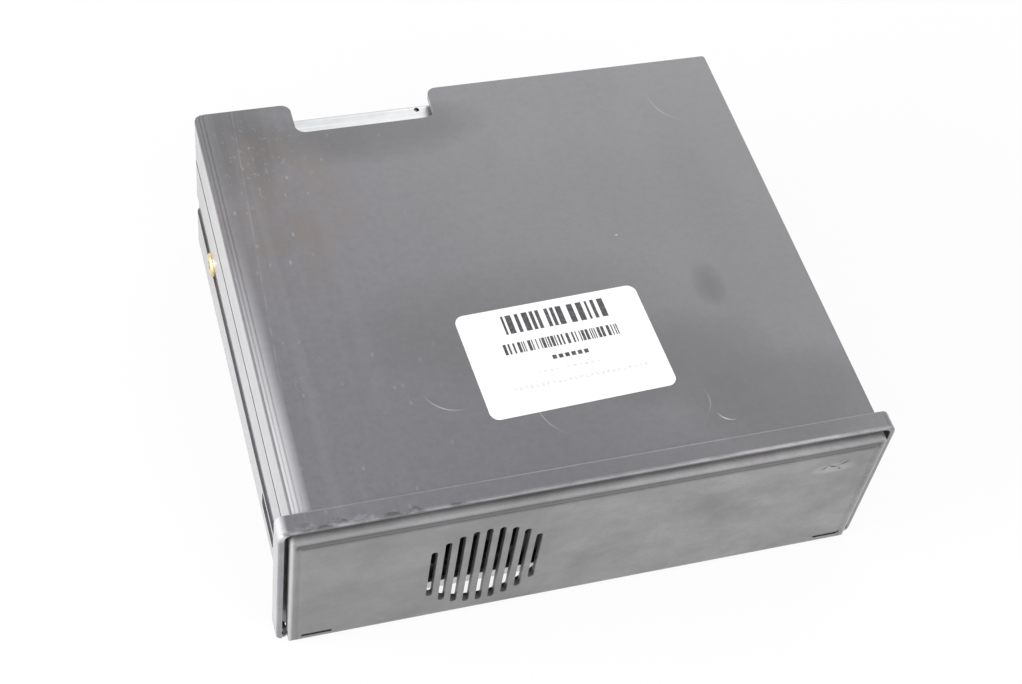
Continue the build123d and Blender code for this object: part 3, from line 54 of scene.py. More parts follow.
class Graph:
    """A material's node tree, with short ways to add and join nodes."""

    def __init__(self, name):
        self.material = bpy.data.materials.new(name)
        self.material.use_nodes = True
        self.tree = self.material.node_tree
        self.tree.nodes.clear()
        self.shader = self.add("ShaderNodeBsdfPrincipled")
        output = self.add("ShaderNodeOutputMaterial")
        self.surface = output.inputs["Surface"]
        self.join(self.shader.outputs["BSDF"], self.surface)
        self.place = self.add("ShaderNodeTexCoord").outputs["Object"]

    def add(self, kind, **values):
        """A new node with its properties set."""
        node = self.tree.nodes.new(kind)
        for key, value in values.items():
            setattr(node, key, value)
        return node

    def join(self, output, socket):
        """Links an output to an input."""
        self.tree.links.new(output, socket)

    def feed(self, socket, value):
        """Sets a socket from a number, a colour or another node's output."""
        if isinstance(value, bpy.types.NodeSocket):
            self.join(value, socket)
        elif socket.type == "RGBA":
            socket.default_value = (*tuple(value)[:3], 1.0)
        else:
            socket.default_value = value

    def mapped(self, scale, turn=(0, 0, 0), shift=(0, 0, 0)):
        """Object coordinates scaled, turned and shifted."""
        node = self.add("ShaderNodeMapping")
        self.join(self.place, node.inputs["Vector"])
        node.inputs["Scale"].default_value = scale
        node.inputs["Rotation"].default_value = turn
        node.inputs["Location"].default_value = shift
        return node.outputs["Vector"]

    def noise(self, scale, detail=2.0, rough=0.5, vector=None):
        """Perlin noise, its size given in turns per metre."""
        node = self.add("ShaderNodeTexNoise")
        self.join(vector or self.place, node.inputs["Vector"])
        node.inputs["Scale"].default_value = scale
        node.inputs["Detail"].default_value = detail
        node.inputs["Roughness"].default_value = rough
        return node.outputs["Fac"]

    def cells(self, scale, vector=None):
        """Distance to the nearest of random points, their number given in turns per metre."""
        node = self.add("ShaderNodeTexVoronoi", feature="F1")
        self.join(vector or self.place, node.inputs["Vector"])
        node.inputs["Scale"].default_value = scale
        return node.outputs["Distance"]

    def ramp(self, value, low, high, start=0.0, end=1.0):
        """A value between low and high carried to start and end, and held beyond them."""
        node = self.add("ShaderNodeMapRange", clamp=True)
        self.feed(node.inputs["Value"], value)
        for key, number in (("From Min", low), ("From Max", high), ("To Min", start), ("To Max", end)):
            node.inputs[key].default_value = number
        return node.outputs["Result"]

    def math(self, operation, first, second=None):
        """One operation on one or two values."""
        node = self.add("ShaderNodeMath", operation=operation)
        self.feed(node.inputs[0], first)
        if second is not None:
            self.feed(node.inputs[1], second)
        return node.outputs["Value"]

    def times(self, first, *others):
        """The product of two or more values."""
        for other in others:
            first = self.math("MULTIPLY", first, other)
        return first

    def most(self, first, second):
        """The higher of two values."""
        return self.math("MAXIMUM", first, second)

    def away(self, value, middle):
        """How far a value is from a level, either way."""
        return self.math("ABSOLUTE", self.math("SUBTRACT", value, middle))

    def band(self, value, middle, half):
        """One at a level and nought beyond half a width from it."""
        return self.ramp(self.away(value, middle), half, 0.0)

    def axis(self, name):
        """One of the object's coordinates in millimetres."""
        node = self.add("ShaderNodeSeparateXYZ")
        self.join(self.place, node.inputs["Vector"])
        return self.math("MULTIPLY", node.outputs[name], 1 / MM)

    def tint(self, factor, first, second):
        """A colour between two, by a factor."""
        node = self.add("ShaderNodeMix", data_type="RGBA")
        self.feed(node.inputs["Factor"], factor)
        colours = [s for s in node.inputs if s.type == "RGBA"]
        self.feed(colours[0], first)
        self.feed(colours[1], second)
        return [s for s in node.outputs if s.type == "RGBA"][0]

    def bump(self, height, distance, strength=1.0, under=None):
        """A bump of a real height in millimetres, on top of another if one is given."""
        node = self.add("ShaderNodeBump")
        self.feed(node.inputs["Height"], height)
        node.inputs["Distance"].default_value = distance * MM
        node.inputs["Strength"].default_value = strength
        if under is not None:
            self.join(under, node.inputs["Normal"])
        return node.outputs["Normal"]

    def set(self, **values):
        """Sets the shader's sockets: base, rough, metal, normal and so on."""
        names = {"base": "Base Color", "rough": "Roughness", "metal": "Metallic", "normal": "Normal",
                 "specular": "Specular IOR Level", "sheen": "Sheen Weight", "coat": "Coat Weight",
                 "coat_rough": "Coat Roughness", "transmission": "Transmission Weight", "ior": "IOR",
                 "coat_ior": "Coat IOR", "sheen_rough": "Sheen Roughness"}
        for key, value in values.items():
            self.feed(self.shader.inputs[names[key]], value)
        return self.material


def scaled(colour, share, more=0.0):
    """A colour made lighter or darker, at most white."""
    return [min(1.0, c * share + more) for c in colour]


# Mesh helpers

def put_mesh(name, points, faces):
    """A new flat-shaded object from arrays of points in millimetres and of faces."""
    mesh = bpy.data.meshes.new(name)
    flat = np.asarray(points, dtype=float).reshape(-1, 3) * MM
    mesh.from_pydata(flat.tolist(), [], [list(map(int, face)) for face in faces])
    mesh.validate()
    mesh.polygons.foreach_set("use_smooth", [False] * len(mesh.polygons))
    mesh.update()
    thing = bpy.data.objects.new(name, mesh)
    bpy.context.scene.collection.objects.link(thing)
    return thing


# A box's corners, 0 where a coordinate is the low one and 1 where it is the high one, and its faces

BOX_CORNERS = np.array([(0, 0, 0), (1, 0, 0), (1, 1, 0), (0, 1, 0),
                        (0, 0, 1), (1, 0, 1), (1, 1, 1), (0, 1, 1)])
BOX_FACES = np.array([(0, 3, 2, 1), (4, 5, 6, 7), (0, 1, 5, 4), (1, 2, 6, 5), (2, 3, 7, 6), (3, 0, 4, 7)])


def box_points(low, high):
    """The corners of boxes between arrays of low and high ones: the bottom four, then the top four."""
    low = np.atleast_2d(np.asarray(low, dtype=float))
    high = np.atleast_2d(np.asarray(high, dtype=float))
    return np.where(BOX_CORNERS[None, :, :] == 1, high[:, None, :], low[:, None, :])


def box_faces(count):
    """The faces of that many boxes in one mesh."""
    return (BOX_FACES[None, :, :] + 8 * np.arange(count)[:, None, None]).reshape(-1, 4)


def node_box(name):
    """The lowest and highest corners of a CAD node in millimetres."""
    low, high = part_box(name)
    return np.array(low) / MM, np.array(high) / MM


def dress(material, *names):
    """Gives CAD nodes or pieces this material in every slot."""
    for name in names:
        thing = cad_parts.get(name) or bpy.data.objects[name]
        if not thing.data.materials:
            thing.data.materials.append(material)
        for place in range(len(thing.data.materials)):
            thing.data.materials[place] = material


# Levels on the cover and the door at which marks lie, in millimetres

TOP_FROM_Z = 58.3       # the marks of the top's edges lie above this
TOP_FROM_X = -89.4      # and to the right of this
BEZEL_BACK_EDGE_Y = -74.2     # the bezel's back edge, where a painted highlight line lies
BEZEL_FRONT_EDGE_Y = -80.0    # the bezel's front edge, worn and with a painted highlight line
LINE_X = -82.0          # the fine line beside the top's left edge, at the middle of its length
LINE_SLANT = 0.0544     # how far that line leans to the right for each millimetre to the back
BEAD_Z = 56.3           # the crest of the door's bead, where a painted highlight lies
VALLEY_Z = 53.8         # the valley under the bead, darkened with painted shade
DOOR_END_X = 90.0       # painted highlights on the door's ends lie beyond this
DOOR_FACE_Y = -81.4     # the painted shade and the scuff are at full strength in front of this

# Handling marks on the cover's top, in millimetres
# Smears: middle, reach, strength

COVER_SMEARS = (
    ((-82, 66), (20, 24), 0.6), ((-34, 66), (44, 14), 0.6), ((-10, -18), (60, 26), 0.28),
    ((36, -42), (34, 20), 0.5), ((66, -62), (36, 20), 0.45), ((56, -17), (6, 10), 0.75),
)

# Bloom: middle, reach

COVER_BLOOM = ((-70, 40), (26, 40))

# Flecks: middle, reach, stretch of the pattern, strength

COVER_FLECKS = (
    ((-73, 58), (20, 24), (1.0, 0.6, 1.0), 0.5),
    ((-78, -28), (7, 20), (1.0, 0.35, 1.0), 0.45),
)

# Scratches: middle x, middle y, turn in degrees, half length, strength

COVER_SCRATCHES = (
    (-39.0, -47.0, -32, 7.0, 0.25), (-10.5, -56.0, -70, 9.0, 0.14), (43.5, -67.0, -35, 3.4, 0.4),
    (41.0, -60.0, 80, 5.0, 0.12), (33.0, 8.4, 10, 0.8, 0.35), (65.0, 60.0, -60, 9.0, 0.12),
)

# Marks on the door's face, in millimetres
# Slits: middle x, middle z, and half their length and height, rim outwards and inwards

# these slits are darkened with painted shade
DOOR_SLITS = ((-82.75, 4.2), (84.35, 4.6))
SLIT_HALF_LENGTH = (4.9, 4.4)
SLIT_HALF_HEIGHT = (0.9, 0.4)

# Pale rub: middle, reach

DOOR_RUB = ((76, 45.5), (8, 3))

# Scuff: scratches as on the cover, with their half width

DOOR_SCUFF = (
    (72.8, 46.3, 40, 1.8, 0.4, 0.5), (75.6, 46.6, -18, 2.6, 0.4, 0.55),
    (79.2, 47.6, 28, 2.4, 0.4, 0.55), (78.0, 45.0, -30, 1.0, 0.4, 0.5),
)

# Colours that several marks or metals share

GRIME = (0.006, 0.006, 0.007)
# colour of the painted highlight along the top's left edge and on the bezel's top left corner
PAINTED_EDGE_HIGHLIGHT = (0.6, 0.59, 0.61)
CHIPPED = (0.01, 0.01, 0.011)
BRIGHT_METAL = (0.6, 0.61, 0.62)


# Marks, each a factor from nought to one

def patch(g, x, y, place, reach):
    """A soft oval patch, one at its middle and nought at its uneven rim."""
    across = g.math("POWER", g.math("DIVIDE", g.math("SUBTRACT", x, place[0]), reach[0]), 2)
    along = g.math("POWER", g.math("DIVIDE", g.math("SUBTRACT", y, place[1]), reach[1]), 2)
    near = g.math("SUBTRACT", 1.0, g.math("ADD", across, along))
    uneven = g.times(g.math("SUBTRACT", g.noise(45, 3, 0.6), 0.5), 0.9)
    return g.ramp(g.math("ADD", near, uneven), 0.0, 0.9)


def scratch(g, x, y, middle_x, middle_y, turn, length, strength, half=0.32):
    """A slightly bowed scratch: nearness to a shallow curve that fades at both ends."""
    c, s = cos(radians(turn)), sin(radians(turn))
    from_x = g.math("SUBTRACT", x, middle_x)
    from_y = g.math("SUBTRACT", y, middle_y)
    along = g.math("ADD", g.times(from_x, c), g.times(from_y, s))
    across = g.math("SUBTRACT", g.times(from_y, c), g.times(from_x, s))
    bow = g.times(along, along, 0.35 / length)
    near = g.ramp(g.away(across, bow), half, half / 6)
    return g.times(near, g.ramp(g.math("ABSOLUTE", along), length, 0.0), strength * 3)


def nicks(g, size, spread):
    """Small pale nicks: the middles of random cells, in patches."""
    spots = g.ramp(g.cells(size, g.mapped((1.0, 0.55, 1.0), (0, 0, radians(25)))), 0.16, 0.06)
    where = g.noise(spread, 2, 0.5, g.mapped((1, 1, 1), shift=(1.3, 2.2, 0)))
    return g.times(spots, g.ramp(where, 0.44, 0.56))


def flecks(g, x, y, place, reach, stretch, strength):
    """Fine uneven flecks within an oval patch."""
    fine = g.ramp(g.noise(560, 5, 0.75, g.mapped(stretch, (0, 0, radians(15)))), 0.58, 0.7)
    return g.times(fine, patch(g, x, y, place, reach), strength)


# Finishes

def cover_tones(g, x, y, settings):
    """Slow mottling, a painted highlight that lightens the left half, fine grain, dark smears, a brown
    bloom, and rubbed streaks that the same painted highlight strengthens towards the left edge.
    """
    dark = settings.cover_colour
    base = g.tint(g.ramp(g.noise(10, 2, 0.5), 0.35, 0.7), scaled(dark, 0.85), scaled(dark, 1.25))
    # painted highlight: the left half made lighter
    base = g.tint(g.ramp(x, 20, -70), base, scaled(dark, 1.4))
    base = g.tint(g.ramp(g.noise(420, 4, 0.7), 0.4, 0.7, 0.0, 0.3), base, scaled(dark, 0.5))
    for place, reach, strength in COVER_SMEARS:
        base = g.tint(g.times(patch(g, x, y, place, reach), strength), base, GRIME)
    bloom = g.times(patch(g, x, y, *COVER_BLOOM), g.ramp(g.noise(90, 4, 0.65), 0.35, 0.7))
    base = g.tint(g.times(bloom, 0.9), base, settings.bloom_colour)
    # rubbed streaks, stronger towards the left edge, where they are partly painted highlight
    streak = g.ramp(g.noise(150, 3, 0.6, g.mapped((1.0, 0.04, 1.0))), 0.42, 0.7)
    return g.tint(g.times(streak, g.ramp(x, -45, -84, 0.0, 0.6), 0.6), base, settings.rub_colour)


def cover_painted_highlight(g, x, y, z):
    """A painted highlight: the pale strip along the top's left edge, stronger to the front, and on the
    bezel's top left corner.
    """
    strip = g.times(g.ramp(x, -83.5, -88.5), g.ramp(y, 30, -50, 0.1, 1.0))
    strip = g.times(strip, g.ramp(x, TOP_FROM_X, TOP_FROM_X + 0.3), g.ramp(z, TOP_FROM_Z - 0.7, TOP_FROM_Z))
    strip = g.times(strip, g.math("SUBTRACT", 1.0, g.ramp(y, BEZEL_BACK_EDGE_Y + 0.4, BEZEL_BACK_EDGE_Y - 0.1)))
    return g.most(strip, g.times(g.ramp(x, -91.5, -93.2, 0.0, 0.7), g.ramp(z, 55.0, 58.0)))


def cover_line(g, x, y):
    """A fine broken line that runs to the back beside the top's left edge, turned a little."""
    slant = g.math("SUBTRACT", x, g.times(y, LINE_SLANT))
    return g.times(g.band(slant, LINE_X, 0.4), g.ramp(g.noise(160, 2, 0.5), 0.35, 0.65), 0.7)


def cover_marks(g, x, y, raised):
    """Nicks, flecks and scratches on the top, a painted highlight line along the bezel's back edge, and its
    worn front edge with a painted highlight.
    """
    marks = g.times(nicks(g, 240, 34), g.ramp(x, -20, -75, 0.02, 0.3))
    for spray in COVER_FLECKS:
        marks = g.most(marks, flecks(g, x, y, *spray))
    for mark in COVER_SCRATCHES:
        marks = g.most(marks, scratch(g, x, y, *mark))
    # painted highlight lines along the bezel's back and front edges; the front edge is also worn
    back = g.times(g.band(y, BEZEL_BACK_EDGE_Y, 0.5), g.ramp(g.noise(60, 3, 0.6), 0.3, 0.6, 0.05, 0.3))
    front = g.times(g.band(y, BEZEL_FRONT_EDGE_Y, 0.6), g.ramp(g.noise(90, 3, 0.6), 0.3, 0.6, 0.2, 0.9))
    worn = g.most(back, g.times(front, g.ramp(x, -30, 60, 0.25, 1.0)))
    return g.most(marks, g.times(worn, raised))


def chewed_rim(g, x, y, raised):
    """The chewed front rim of the bezel, deepest at the left, and the lumps in it."""
    deep = g.times(g.ramp(g.noise(150, 4, 0.6), 0.35, 0.65, 0.0, 3.6), g.ramp(x, -30, -72))
    behind = g.math("SUBTRACT", g.math("SUBTRACT", y, BEZEL_FRONT_EDGE_Y - 0.6), deep)
    chewed = g.times(raised, g.ramp(behind, 0.4, -0.4))
    lumps = g.ramp(g.noise(300, 4, 0.6, g.mapped((0.5, 1.0, 1.0), (0, 0, radians(30)))), 0.4, 0.62)
    return chewed, lumps


def moulded_black(settings):
    """Satin black moulding under a thin gloss, with its tones, marks of handling, painted highlights and a
    chewed bezel rim.
    """
    g = Graph("moulded black plastic")
    x, y, z = (g.axis(name) for name in "XYZ")
    raised = g.ramp(z, TOP_FROM_Z, TOP_FROM_Z + 0.6)
    base = cover_tones(g, x, y, settings)
    # painted highlight along the top's left edge and on the bezel's top left corner
    base = g.tint(cover_painted_highlight(g, x, y, z), base, PAINTED_EDGE_HIGHLIGHT)
    base = g.tint(cover_line(g, x, y), base, settings.rub_colour)
    marks = cover_marks(g, x, y, raised)
    # nicks, flecks, scratches and the bezel's painted highlight lines
    base = g.tint(marks, base, settings.nick_and_highlight_colour)
    chewed, lumps = chewed_rim(g, x, y, raised)
    chips = g.times(chewed, g.math("SUBTRACT", 1.0, lumps))
    base = g.tint(g.times(chewed, lumps, 0.25), base, settings.nick_and_highlight_colour)
    base = g.tint(g.times(chips, 0.75), base, CHIPPED)
    smear = g.noise(30, 4, 0.6, g.mapped((1.0, 0.35, 1.0), (0, 0, radians(20))))
    low = settings.cover_rough
    rough = g.most(g.ramp(smear, 0.35, 0.7, low, low + 0.12), g.times(chewed, 0.85))
    peel = g.bump(g.noise(900, 2, 0.5), 0.03, 0.35)
    dents = g.bump(g.math("SUBTRACT", marks, g.times(chips, 4.0)), 0.06, 0.7, peel)
    return g.set(base=base, rough=rough, normal=dents, specular=0.6, coat=1.0, coat_rough=0.2, coat_ior=1.55,
                 sheen=settings.cover_film, sheen_rough=0.35)


def door_shade_and_scuff(g, x, y, z):
    """Painted shade on the door's face along the valley under the bead and in the slits, and the dark scuff.
    """
    # painted shade along the valley under the bead
    shade_and_scuff = g.times(g.band(z, VALLEY_Z, 1.7), g.ramp(g.math("ABSOLUTE", x), 90.2, 89.2, 0.0, 0.7))
    # painted shade inside the slits
    for slit_x, slit_z in DOOR_SLITS:
        within = g.ramp(g.away(x, slit_x), *SLIT_HALF_LENGTH)
        shade_and_scuff = g.most(shade_and_scuff, g.times(within, g.ramp(g.away(z, slit_z), *SLIT_HALF_HEIGHT)))
    for mark in DOOR_SCUFF:
        shade_and_scuff = g.most(shade_and_scuff, scratch(g, x, z, *mark))
    return g.times(shade_and_scuff, g.ramp(y, DOOR_FACE_Y + 0.8, DOOR_FACE_Y))


def grained_grey(settings):
    """Fine grained grey moulding: small pits over slow changes of tone, painted shade towards the left,
    painted highlights on the ends and the bead's crest, a pale rub, painted shade in the valley and the
    slits, and a scuff.
    """
    g = Graph("grained grey plastic")
    x, y, z = (g.axis(name) for name in "XYZ")
    tone = settings.door_colour
    cloud = g.noise(26, 5, 0.7, g.mapped((1.0, 1.0, 1.4)))
    grain = g.noise(1100, 4, 0.7)
    base = g.tint(g.ramp(cloud, 0.36, 0.64), scaled(tone, 0.7), scaled(tone, 1.2))
    # painted shade: the door darker towards the left
    base = g.tint(g.ramp(x, 40, -80, 0.0, 0.4), base, scaled(tone, 0.7))
    base = g.tint(g.ramp(grain, 0.45, 0.7, 0, 0.35), base, scaled(tone, 0.7))
    base = g.tint(g.times(patch(g, x, z, *DOOR_RUB), 0.5), base, scaled(tone, 1.7))
    # painted highlights on the door's ends and along the bead's crest
    ends = g.ramp(g.math("ABSOLUTE", x), DOOR_END_X, DOOR_END_X + 0.8)
    edge_highlights = g.most(g.times(ends, 0.5), g.times(g.band(z, BEAD_Z, 0.7), 0.15))
    base = g.tint(edge_highlights, base, scaled(tone, 2.2))
    # painted shade in the valley and the slits, and the dark scuff
    base = g.tint(door_shade_and_scuff(g, x, y, z), base, scaled(tone, 0.15))
    return g.set(base=base, rough=g.ramp(cloud, 0.3, 0.7, 0.36, 0.46), normal=g.bump(grain, 0.08, 0.5))


def plain_moulding(name, colour, rough=0.5):
    """An inner moulding: one tone with fine grain and faint flow marks."""
    g = Graph(name)
    cloud = g.noise(60, 3, 0.5)
    base = g.tint(g.ramp(cloud, 0.35, 0.7), colour, scaled(colour, 1.35, 0.004))
    bump = g.bump(g.noise(1800, 2, 0.5), 0.04, 0.4)
    return g.set(base=base, rough=g.ramp(cloud, 0.3, 0.7, rough, rough + 0.12), normal=bump)


def rolled_steel(name, colour, stretch, rough=0.28):
    """Plated sheet: long rolling streaks, small spangles and a slow change of gloss."""
    g = Graph(name)
    streak = g.noise(700, 3, 0.6, g.mapped(stretch))
    spangle = g.cells(260)
    base = g.tint(g.ramp(streak, 0.35, 0.7), colour, scaled(colour, 0.8))
    base = g.tint(g.ramp(spangle, 0.2, 0.7, 0, 0.2), base, scaled(colour, 1.15))
    bump = g.bump(streak, 0.02, 0.4)
    return g.set(base=base, metal=1.0, rough=g.ramp(streak, 0.3, 0.7, rough, rough + 0.15), normal=bump)


def plated(name, colour, rough=0.3):
    """Plated or turned metal with faint turning marks and tarnish."""
    g = Graph(name)
    cloud = g.noise(500, 3, 0.6)
    base = g.tint(g.ramp(cloud, 0.35, 0.75), colour, scaled(colour, 0.62))
    bump = g.bump(g.noise(3000, 2, 0.5), 0.02, 0.4)
    return g.set(base=base, metal=1.0, rough=g.ramp(cloud, 0.3, 0.7, rough, rough + 0.2), normal=bump)


def laminate(settings):
    """Circuit board: green mask over straight tracks, with pads in rows."""
    g = Graph("board laminate")
    steps = g.add("ShaderNodeTexBrick", offset=0.5)
    g.join(g.mapped((1, 1, 1)), steps.inputs["Vector"])
    steps.inputs["Scale"].default_value = 180
    steps.inputs["Mortar Size"].default_value = 0.06
    steps.inputs["Color1"].default_value = (0.0, 0.0, 0.0, 1)
    steps.inputs["Color2"].default_value = (0.25, 0.25, 0.25, 1)
    steps.inputs["Mortar"].default_value = (1, 1, 1, 1)
    track = g.ramp(steps.outputs["Color"], 0.2, 0.9)
    pads = g.ramp(g.cells(420), 0.12, 0.08)
    green = settings.board_colour
    base = g.tint(track, green, scaled(green, 1.7))
    base = g.tint(pads, base, (0.62, 0.55, 0.36))
    return g.set(base=base, rough=0.32, normal=g.bump(track, 0.04, 0.6))


def chip_black():
    """Moulded chip package: matt black with a fine sparkle."""
    g = Graph("chip package")
    speck = g.noise(3500, 2, 0.5)
    base = g.tint(g.ramp(speck, 0.5, 0.75), (0.018, 0.018, 0.019), (0.19, 0.187, 0.19))
    return g.set(base=base, rough=0.48, normal=g.bump(speck, 0.03, 0.4))


def soft_rubber():
    """Matt rubber with dust in its pores."""
    g = Graph("soft rubber")
    dust = g.noise(900, 4, 0.7)
    base = g.tint(g.ramp(dust, 0.5, 0.8), (0.022, 0.022, 0.023), (0.09, 0.088, 0.085))
    return g.set(base=base, rough=0.78, normal=g.bump(dust, 0.06, 0.5))


def paper():
    """White sticker paper with a faint fibre and slightly yellowed patches."""
    g = Graph("white paper")
    fibre = g.noise(1500, 4, 0.6)
    cloud = g.noise(40, 2, 0.5)
    base = g.tint(g.ramp(fibre, 0.35, 0.7), (0.96, 0.96, 0.955), (0.9, 0.9, 0.895))
    base = g.tint(g.ramp(cloud, 0.5, 0.8, 0, 0.3), base, (0.85, 0.84, 0.8))
    return g.set(base=base, rough=0.55, normal=g.bump(fibre, 0.02, 0.3))


def flat_film(pitch=1.0):
    """Ribbon of parallel tinned tracks in clear film, a millimetre apart."""
    g = Graph("ribbon film")
    stripe = g.math("SINE", g.times(g.axis("X"), 2 * pi / pitch))
    base = g.tint(g.ramp(stripe, -0.2, 0.3), (0.78, 0.76, 0.7), (0.5, 0.51, 0.53))
    return g.set(base=base, rough=0.3, normal=g.bump(stripe, 0.03, 0.4))


def clear_lens():
    """A small moulded lens with a bluish coating."""
    g = Graph("clear lens")
    ring = g.noise(800, 1, 0.3)
    base = g.tint(g.ramp(ring, 0.3, 0.7), (0.75, 0.82, 0.95), (0.6, 0.72, 0.9))
    return g.set(base=base, rough=0.04, transmission=0.85, ior=1.49)


def black_print():
    """Thermal print on the sticker, a little uneven."""
    g = Graph("sticker print")
    cloud = g.noise(900, 3, 0.6)
    base = g.tint(g.ramp(cloud, 0.35, 0.75), (0.025, 0.025, 0.03), (0.13, 0.13, 0.14))
    return g.set(base=base, rough=0.6)


def faint_print():
    """Worn thermal print, nearly gone."""
    g = Graph("faint print")
    cloud = g.noise(1200, 3, 0.6)
    base = g.tint(g.ramp(cloud, 0.35, 0.7), (0.7, 0.7, 0.71), (0.88, 0.88, 0.88))
    return g.set(base=base, rough=0.6)


# The sticker's print, in the sticker's own frame: u to the right and v to the back, in millimetres

PRINT_T = 0.02

# Bars: random seed, start and end along u, low and high along v, stock widths, number of bars and gaps

WIDE_BARS = (11, -15.6, 17.8, 9.8, 16.9, (0.7, 1.1, 1.8), 27)
FINE_BARS = (7, -18.2, 18.8, 2.3, 6.3, (0.35, 0.35, 0.6, 0.95), 63)

# Dashes: start along u, pitch, length, low and high along v, number

DARK_DASHES = (-4.6, 2.05, 1.35, -2.3, -0.8, 6)
FAINT_DASHES = ((-11, 1.9, 1.2, -6.5, -5.5, 11), (-20, 1.75, 1.1, -11.2, -9.9, 25))


def on_sticker(points):
    """Points from the sticker's frame to the unit's: turned, moved to its middle and raised to its top."""
    low, high = node_box("top_sticker")
    middle = (low + high) / 2
    turn = bpy.context.scene.unit_finish.sticker_turn
    u, v, w = np.moveaxis(np.asarray(points, dtype=float), -1, 0)
    x = middle[0] + u * cos(turn) - v * sin(turn)
    y = middle[1] + u * sin(turn) + v * cos(turn)
    return np.stack([x, y, high[2] + w], axis=-1)


def printed_bars(bars):
    """Upright printed bars: one thin box for each (u start, u end, v start, v end)."""
    bars = np.asarray(bars, dtype=float)
    base = np.zeros(len(bars))
    low = np.stack([bars[:, 0], bars[:, 2], base], axis=1)
    high = np.stack([bars[:, 1], bars[:, 3], base + PRINT_T], axis=1)
    return on_sticker(box_points(low, high)).reshape(-1, 3), box_faces(len(bars))


def bar_row(seed, start, end, low, high, widths, number):
    """A row of plain bars and gaps of random stock widths, stretched to fit between two ends."""
    steps = np.random.default_rng(seed).choice(widths, size=number)
    ends = np.concatenate([[0.0], np.cumsum(steps)]) * (end - start) / steps.sum() + start
    return [(a, b, low, high) for a, b in zip(ends[:-1:2], ends[1::2])]


def dash_row(start, pitch, length, low, high, number):
    """A row of equal dashes."""
    return [(start + pitch * k, start + pitch * k + length, low, high) for k in range(number)]


def place_print(name, bars):
    """Printed bars as one piece that stays with the unit, on the sticker's top."""
    points, faces = printed_bars(bars)
    thing = put_mesh(name, points, faces)
    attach(thing, "unit")
    return thing


def print_sticker():
    """A stock sticker's plain form: a row of wide bars, a row of fine bars and a short dashed line."""
    bars = bar_row(*WIDE_BARS) + bar_row(*FINE_BARS) + dash_row(*DARK_DASHES)
    return place_print("sticker_print", bars)


def print_faint_lines():
    """Two faint worn lines of dashes under the bars."""
    bars = [bar for row in FAINT_DASHES for bar in dash_row(*row)]
    return place_print("sticker_faint_print", bars)


# Settings

def colour_property(name, text, default):
    """A colour that a user may change."""
    return bpy.props.FloatVectorProperty(name=name, description=text, subtype="COLOR", size=3,
                                         min=0.0, max=1.0, default=default)


def share_property(name, text, default, least=0.0, most=1.0):
    """A share from nought to one that a user may change."""
    return bpy.props.FloatProperty(name=name, description=text, subtype="FACTOR",
                                   min=least, max=most, default=default)


class UnitFinish(bpy.types.PropertyGroup):
    """Colours and gloss of the unit."""

    cover_colour: colour_property("Cover", "Colour of the moulded cover", (0.077, 0.074, 0.085))
    bloom_colour: colour_property("Bloom", "Colour of the cover's brown bloom", (0.1, 0.076, 0.064))
    rub_colour: colour_property("Rub", "Colour of the rubbed streaks on the cover", (0.19, 0.186, 0.195))
    # also the colour of the painted highlight lines along the bezel's edges
    nick_and_highlight_colour: colour_property("Nick", "Colour of nicks and scratches", (0.42, 0.41, 0.42))
    cover_film: share_property("Cover film", "Pale dust film, seen at a low angle", 0.3)
    cover_rough: share_property("Cover roughness", "Lowest roughness of the cover", 0.34, 0.05, 0.9)
    door_colour: colour_property("Door", "Colour of the front door", (0.19, 0.186, 0.19))
    sticker_turn: bpy.props.FloatProperty(name="Sticker turn", description="Turn of the sticker's print",
                                          subtype="ANGLE", default=radians(2.4))
    board_colour: colour_property("Boards", "Colour of the boards' mask", (0.02, 0.12, 0.05))


class UnitStage(bpy.types.PropertyGroup):
    """Light and background."""

    floor_tone: share_property("Floor tone", "Brightness of the floor's colour", 0.9, 0.1)
    floor_glow: share_property("Floor glow", "Share of plain white in the floor as seen", 0.9)
    floor_size: bpy.props.FloatProperty(name="Floor size", description="Width of the floor",
                                        subtype="DISTANCE", unit="LENGTH", min=1.0, default=6.0)
    world_light: bpy.props.FloatProperty(name="World light", description="Strength of the light all round",
                                         min=0.0, max=2.0, default=0.52)


# Pieces

class UNIT_OT_cover(bpy.types.Operator):
    """Finishes the cover, its sticker and its screws"""

    bl_idname = "unit.cover"
    bl_label = "Cover"

    def execute(self, context):
        settings = context.scene.unit_finish
        dress(moulded_black(settings), "outer_cover")
        dress(paper(), "top_sticker")
        dress(black_print(), print_sticker().name)
        dress(faint_print(), print_faint_lines().name)
        dress(plated("yellow zinc", (0.85, 0.7, 0.38)), "cover_screws")
        return {"FINISHED"}


class UNIT_OT_door(bpy.types.Operator):
    """Finishes the door, its pins and its washers"""

    bl_idname = "unit.door"
    bl_label = "Front door"

    def execute(self, context):
        dress(grained_grey(context.scene.unit_finish), "front_door")
        dress(plated("ground steel", (0.7, 0.7, 0.71), 0.18), "door_pins", "guide_rods", "lead_screw",
              "roller_shaft", "clamp_pin")
        dress(plain_moulding("washer plastic", (0.02, 0.02, 0.021), 0.5), "friction_washers")
        return {"FINISHED"}


class UNIT_OT_front_wall(bpy.types.Operator):
    """Finishes what lies behind the door"""

    bl_idname = "unit.front_wall"
    bl_label = "Inner wall, button and fan"

    def execute(self, context):
        dress(plain_moulding("inner moulding", (0.022, 0.022, 0.024), 0.42), "inner_fascia",
              "laser_sled", "turntable", "main_connector", "power_coil")
        dress(plain_moulding("button moulding", (0.09, 0.09, 0.095), 0.25), "eject_button")
        dress(plain_moulding("fan moulding", (0.014, 0.014, 0.015), 0.5), "fan_frame", "fan_rotor")
        dress(plated("black screws", (0.06, 0.06, 0.062), 0.35), "fascia_screws")
        return {"FINISHED"}


